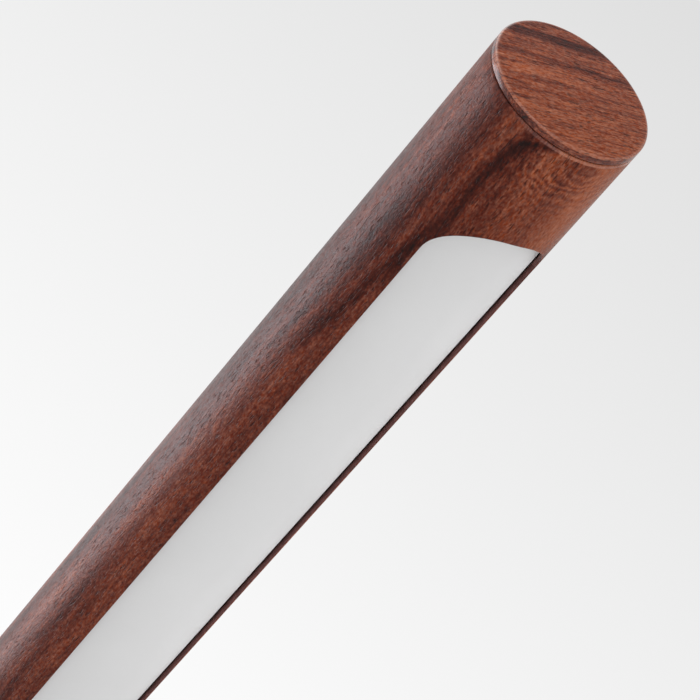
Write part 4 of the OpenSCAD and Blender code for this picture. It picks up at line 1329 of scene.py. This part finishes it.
def new_rule(name, inputs):
    """An empty geometry tree, whose first input and whose output are geometry."""
    return new_group(name, {"Geometry": "Geometry", **inputs}, {"Geometry": "Geometry"}, "Geometry")


def geo(tree, kind, sockets):
    """The first output of a new geometry node."""
    return put(tree, "GeometryNode" + kind, sockets)[0]


def turn_of(tree, euler):
    """A rotation from Euler angles."""
    return put(tree, "FunctionNodeEulerToRotation", {0: euler})[0]


def made_real(tree, geometry, material):
    """Instances made real and given their material."""
    real = geo(tree, "RealizeInstances", {"Geometry": geometry})
    return geo(tree, "SetMaterial", {"Geometry": real, "Material": material})


def copies(tree, points, shape, turn, material):
    """One shape on each point, made real and given its material."""
    placed = geo(tree, "InstanceOnPoints", {"Points": points, "Instance": shape, "Rotation": turn})
    return made_real(tree, placed, material)


def together(tree, *parts):
    """Several geometries as one."""
    node = tree.nodes.new("GeometryNodeJoinGeometry")
    for part in parts:
        tree.links.new(part, node.inputs[0])
    return node.outputs[0]


def grow(piece, tree, values):
    """Runs a tree on a piece, with its inputs set, and keeps the result as a plain mesh."""
    change = piece.modifiers.new(tree.name, "NODES")
    change.node_group = tree
    for socket in tree.interface.items_tree:
        if socket.in_out == "INPUT" and socket.name in values:
            change[socket.identifier] = values[socket.name]
    settle(piece, change)


# %% [markdown]
# A chip is a small white package with a round yellow lens of phosphor. The row follows
# the bar, so the step from chip to chip and the turn of each chip come from its frame.

# %% LED chips
CHIP_LEVEL = 1.3 * MM
CHIP_SIZE = Vector((3.5, 2.8, 0.6)) * MM
LENS_R = 1.15 * MM
LENS_DEPTH = 0.35 * MM
LENS_PROUD = 0.1 * MM
LENS_STEPS = 24
CHIP_COUNT = 28

package = speckled("led_package", 0.4, (0.74, 0.73, 0.70), (0.82, 0.81, 0.79), 0.40, 0.01 * MM)
phosphor = speckled("led_phosphor", 0.25, (0.78, 0.56, 0.10), (0.88, 0.70, 0.20), 0.25, 0.02 * MM)


def chip_row():
    """A row of chips: a white package and a round yellow lens on each point of a line."""
    inputs = {"Count": "Int", "Start": "Vector", "Step": "Vector", "Turn": "Vector", "Chip": "Vector",
              "Lens radius": "Float", "Lens depth": "Float", "Lens drop": "Vector"}
    tree, given, result = new_rule("chip_row", inputs)
    turn = turn_of(tree, given["Turn"])
    line = {"Count": given["Count"], "Start Location": given["Start"], "Offset": given["Step"]}
    points = geo(tree, "MeshLine", line)
    body = geo(tree, "MeshCube", {"Size": given["Chip"]})
    disc = {"Vertices": LENS_STEPS, "Radius": given["Lens radius"], "Depth": given["Lens depth"]}
    lens = geo(tree, "MeshCylinder", disc)
    lens = geo(tree, "Transform", {"Geometry": lens, "Translation": given["Lens drop"]})
    row = [copies(tree, points, shape, turn, coat) for shape, coat in ((body, package), (lens, phosphor))]
    fill(tree, result, {"Geometry": together(tree, *row)})
    return tree


chips = piece_from(bmesh.new(), "chip_row")
grow(chips, chip_row(), {
    "Count": CHIP_COUNT,
    "Start": BAR @ Vector((CHIP_START * MM, 0, CHIP_LEVEL - CHIP_SIZE.z / 2)),
    "Step": BAR.to_3x3() @ Vector((CHIP_PITCH * MM, 0, 0)),
    "Turn": BAR.to_euler(), "Chip": CHIP_SIZE, "Lens radius": LENS_R, "Lens depth": LENS_DEPTH,
    "Lens drop": (0, 0, LENS_DEPTH / 2 - CHIP_SIZE.z / 2 - LENS_PROUD)})
stands_for(chips, "light_bar", "led_chips")

# %% [markdown]
# The nut that holds the supply socket is tightened by hand, so its rim has ribs. The
# core is spun, and the tree adds a small block on each point of a circle, turned by
# the point's own number.

# %% Ring nut
RIB_COUNT = 44
RIB_PROUD = 0.3 * MM
RIB_WIDTH = 0.42 * MM
NUT_CHAMFER = 0.3 * MM
NUT_BORE_R = 4.1 * MM


def rib_ring():
    """Ribs round a circle about z of a frame, added to the piece itself."""
    inputs = {"Count": "Int", "Radius": "Float", "Rib": "Vector", "Place": "Vector", "Turn": "Vector"}
    tree, given, result = new_rule("rib_ring", inputs)
    points = geo(tree, "MeshCircle", {"Vertices": given["Count"], "Radius": given["Radius"]})
    step = calc(tree, "DIVIDE", 2 * math.pi, given["Count"])
    angle = times(tree, geo(tree, "InputIndex", {}), step)
    spin = turn_of(tree, put(tree, "ShaderNodeCombineXYZ", {2: angle})[0])
    rib = geo(tree, "MeshCube", {"Size": given["Rib"]})
    ribs = copies(tree, points, rib, spin, finishes["steel_hardware"])
    placed = geo(tree, "Transform", {"Geometry": ribs, "Translation": given["Place"],
                                     "Rotation": turn_of(tree, given["Turn"])})
    fill(tree, result, {"Geometry": together(tree, given["Geometry"], placed)})
    return tree


nut_low, nut_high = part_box("socket_nut")
nut_half = (nut_high.x - nut_low.x) / 2
nut_middle = (nut_low + nut_high) / 2
core_r = (nut_high.z - nut_low.z) / 2 - RIB_PROUD
nut_corners = [(core_r, -nut_half), (core_r, nut_half), (NUT_BORE_R, nut_half), (NUT_BORE_R, -nut_half)]
nut_profile = rounded(nut_corners, {1: NUT_CHAMFER, 2: NUT_CHAMFER})
nut = piece_from(turned(Matrix.Translation(nut_middle) @ BACKWARDS, nut_profile, closed=True), "ring_nut",
                 finishes["steel_hardware"])
grow(nut, rib_ring(), {
    "Count": RIB_COUNT, "Radius": core_r, "Rib": (2 * RIB_PROUD, RIB_WIDTH, 2 * (nut_half - NUT_CHAMFER)),
    "Place": nut_middle, "Turn": BACKWARDS.to_euler()})
stands_for(nut, "base", "socket_nut")

# %% [markdown]
# The button rests on a small coil spring. A spiral curve with a round profile makes it.

# %% Button spring
SPRING_TURNS = 4.0
SPRING_WIRE_R = 0.3 * MM
SPRING_STEPS = 40
WIRE_STEPS = 12


def coil_rule():
    """A coil spring of round wire, standing on a place."""
    inputs = {"Radius": "Float", "Height": "Float", "Turns": "Float", "Wire": "Float", "Place": "Vector"}
    tree, given, result = new_rule("coil", inputs)
    spiral = geo(tree, "CurveSpiral", {
        "Resolution": SPRING_STEPS, "Rotations": given["Turns"], "Start Radius": given["Radius"],
        "End Radius": given["Radius"], "Height": given["Height"]})
    wire = geo(tree, "CurvePrimitiveCircle", {"Resolution": WIRE_STEPS, "Radius": given["Wire"]})
    coil = geo(tree, "CurveToMesh", {"Curve": spiral, "Profile Curve": wire, "Fill Caps": True})
    coil = geo(tree, "Transform", {"Geometry": coil, "Translation": given["Place"]})
    fill(tree, result, {"Geometry": made_real(tree, coil, finishes["steel_hardware"])})
    return tree


spring_low, spring_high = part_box("button_spring")
spring_height = spring_high.z - spring_low.z
spring_foot = Vector(((spring_low.x + spring_high.x) / 2, 0, spring_low.z))
spring = piece_from(bmesh.new(), "press_spring")
grow(spring, coil_rule(), {
    "Radius": (spring_high.x - spring_low.x) / 2 - SPRING_WIRE_R, "Height": spring_height - 2 * SPRING_WIRE_R,
    "Turns": SPRING_TURNS, "Wire": SPRING_WIRE_R, "Place": spring_foot + Vector((0, 0, SPRING_WIRE_R))})
stands_for(spring, "base", "button_spring")
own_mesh(spring)

# %% [markdown]
# ## The grip pad
# The base stands on a rubber pad. Moulded pads have shallow ring grooves, which keep
# it from sliding on a damp table, so the pad is spun from a profile with grooves.

# %% Grip pad
GROOVE_STEP = 8 * MM
GROOVE_HALF = 1.2 * MM
GROOVE_DEPTH = 0.6 * MM
GROOVE_SLOPE = 0.3 * MM
PAD_EDGE = 0.5 * MM


def pad_profile():
    """Half the pad's section: a flat top, a rounded rim and grooves in the underside."""
    radius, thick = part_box("grip_pad")[1].x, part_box("grip_pad")[1].z
    points = [(0, 0)]
    for ring in range(1, int(radius / GROOVE_STEP)):
        middle = ring * GROOVE_STEP
        points += [(middle - GROOVE_HALF, 0), (middle - GROOVE_HALF + GROOVE_SLOPE, GROOVE_DEPTH),
                   (middle + GROOVE_HALF - GROOVE_SLOPE, GROOVE_DEPTH), (middle + GROOVE_HALF, 0)]
    rim = len(points)
    points += [(radius, 0), (radius, thick), (0, thick)]
    return rounded(points, {rim: PAD_EDGE})


pad = piece_from(turned(Matrix(), pad_profile()), "ribbed_pad", finishes["grip_rubber"])
stands_for(pad, "base", "grip_pad")

# %% [markdown]
# ## The pieces that stay
# All other pieces have the right shape already. Each takes the finish of its slot in
# the record, on the material slots of its own object.

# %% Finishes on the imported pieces
dressed = 0
for row in frame["record"]["subparts"]:
    if row["material_slot"] in finishes:
        for material_slot in frame["nodes"][row["node"]].material_slots:
            material_slot.material = finishes[row["material_slot"]]
        dressed += 1
print(dressed, "packed pieces have a finish of their own")
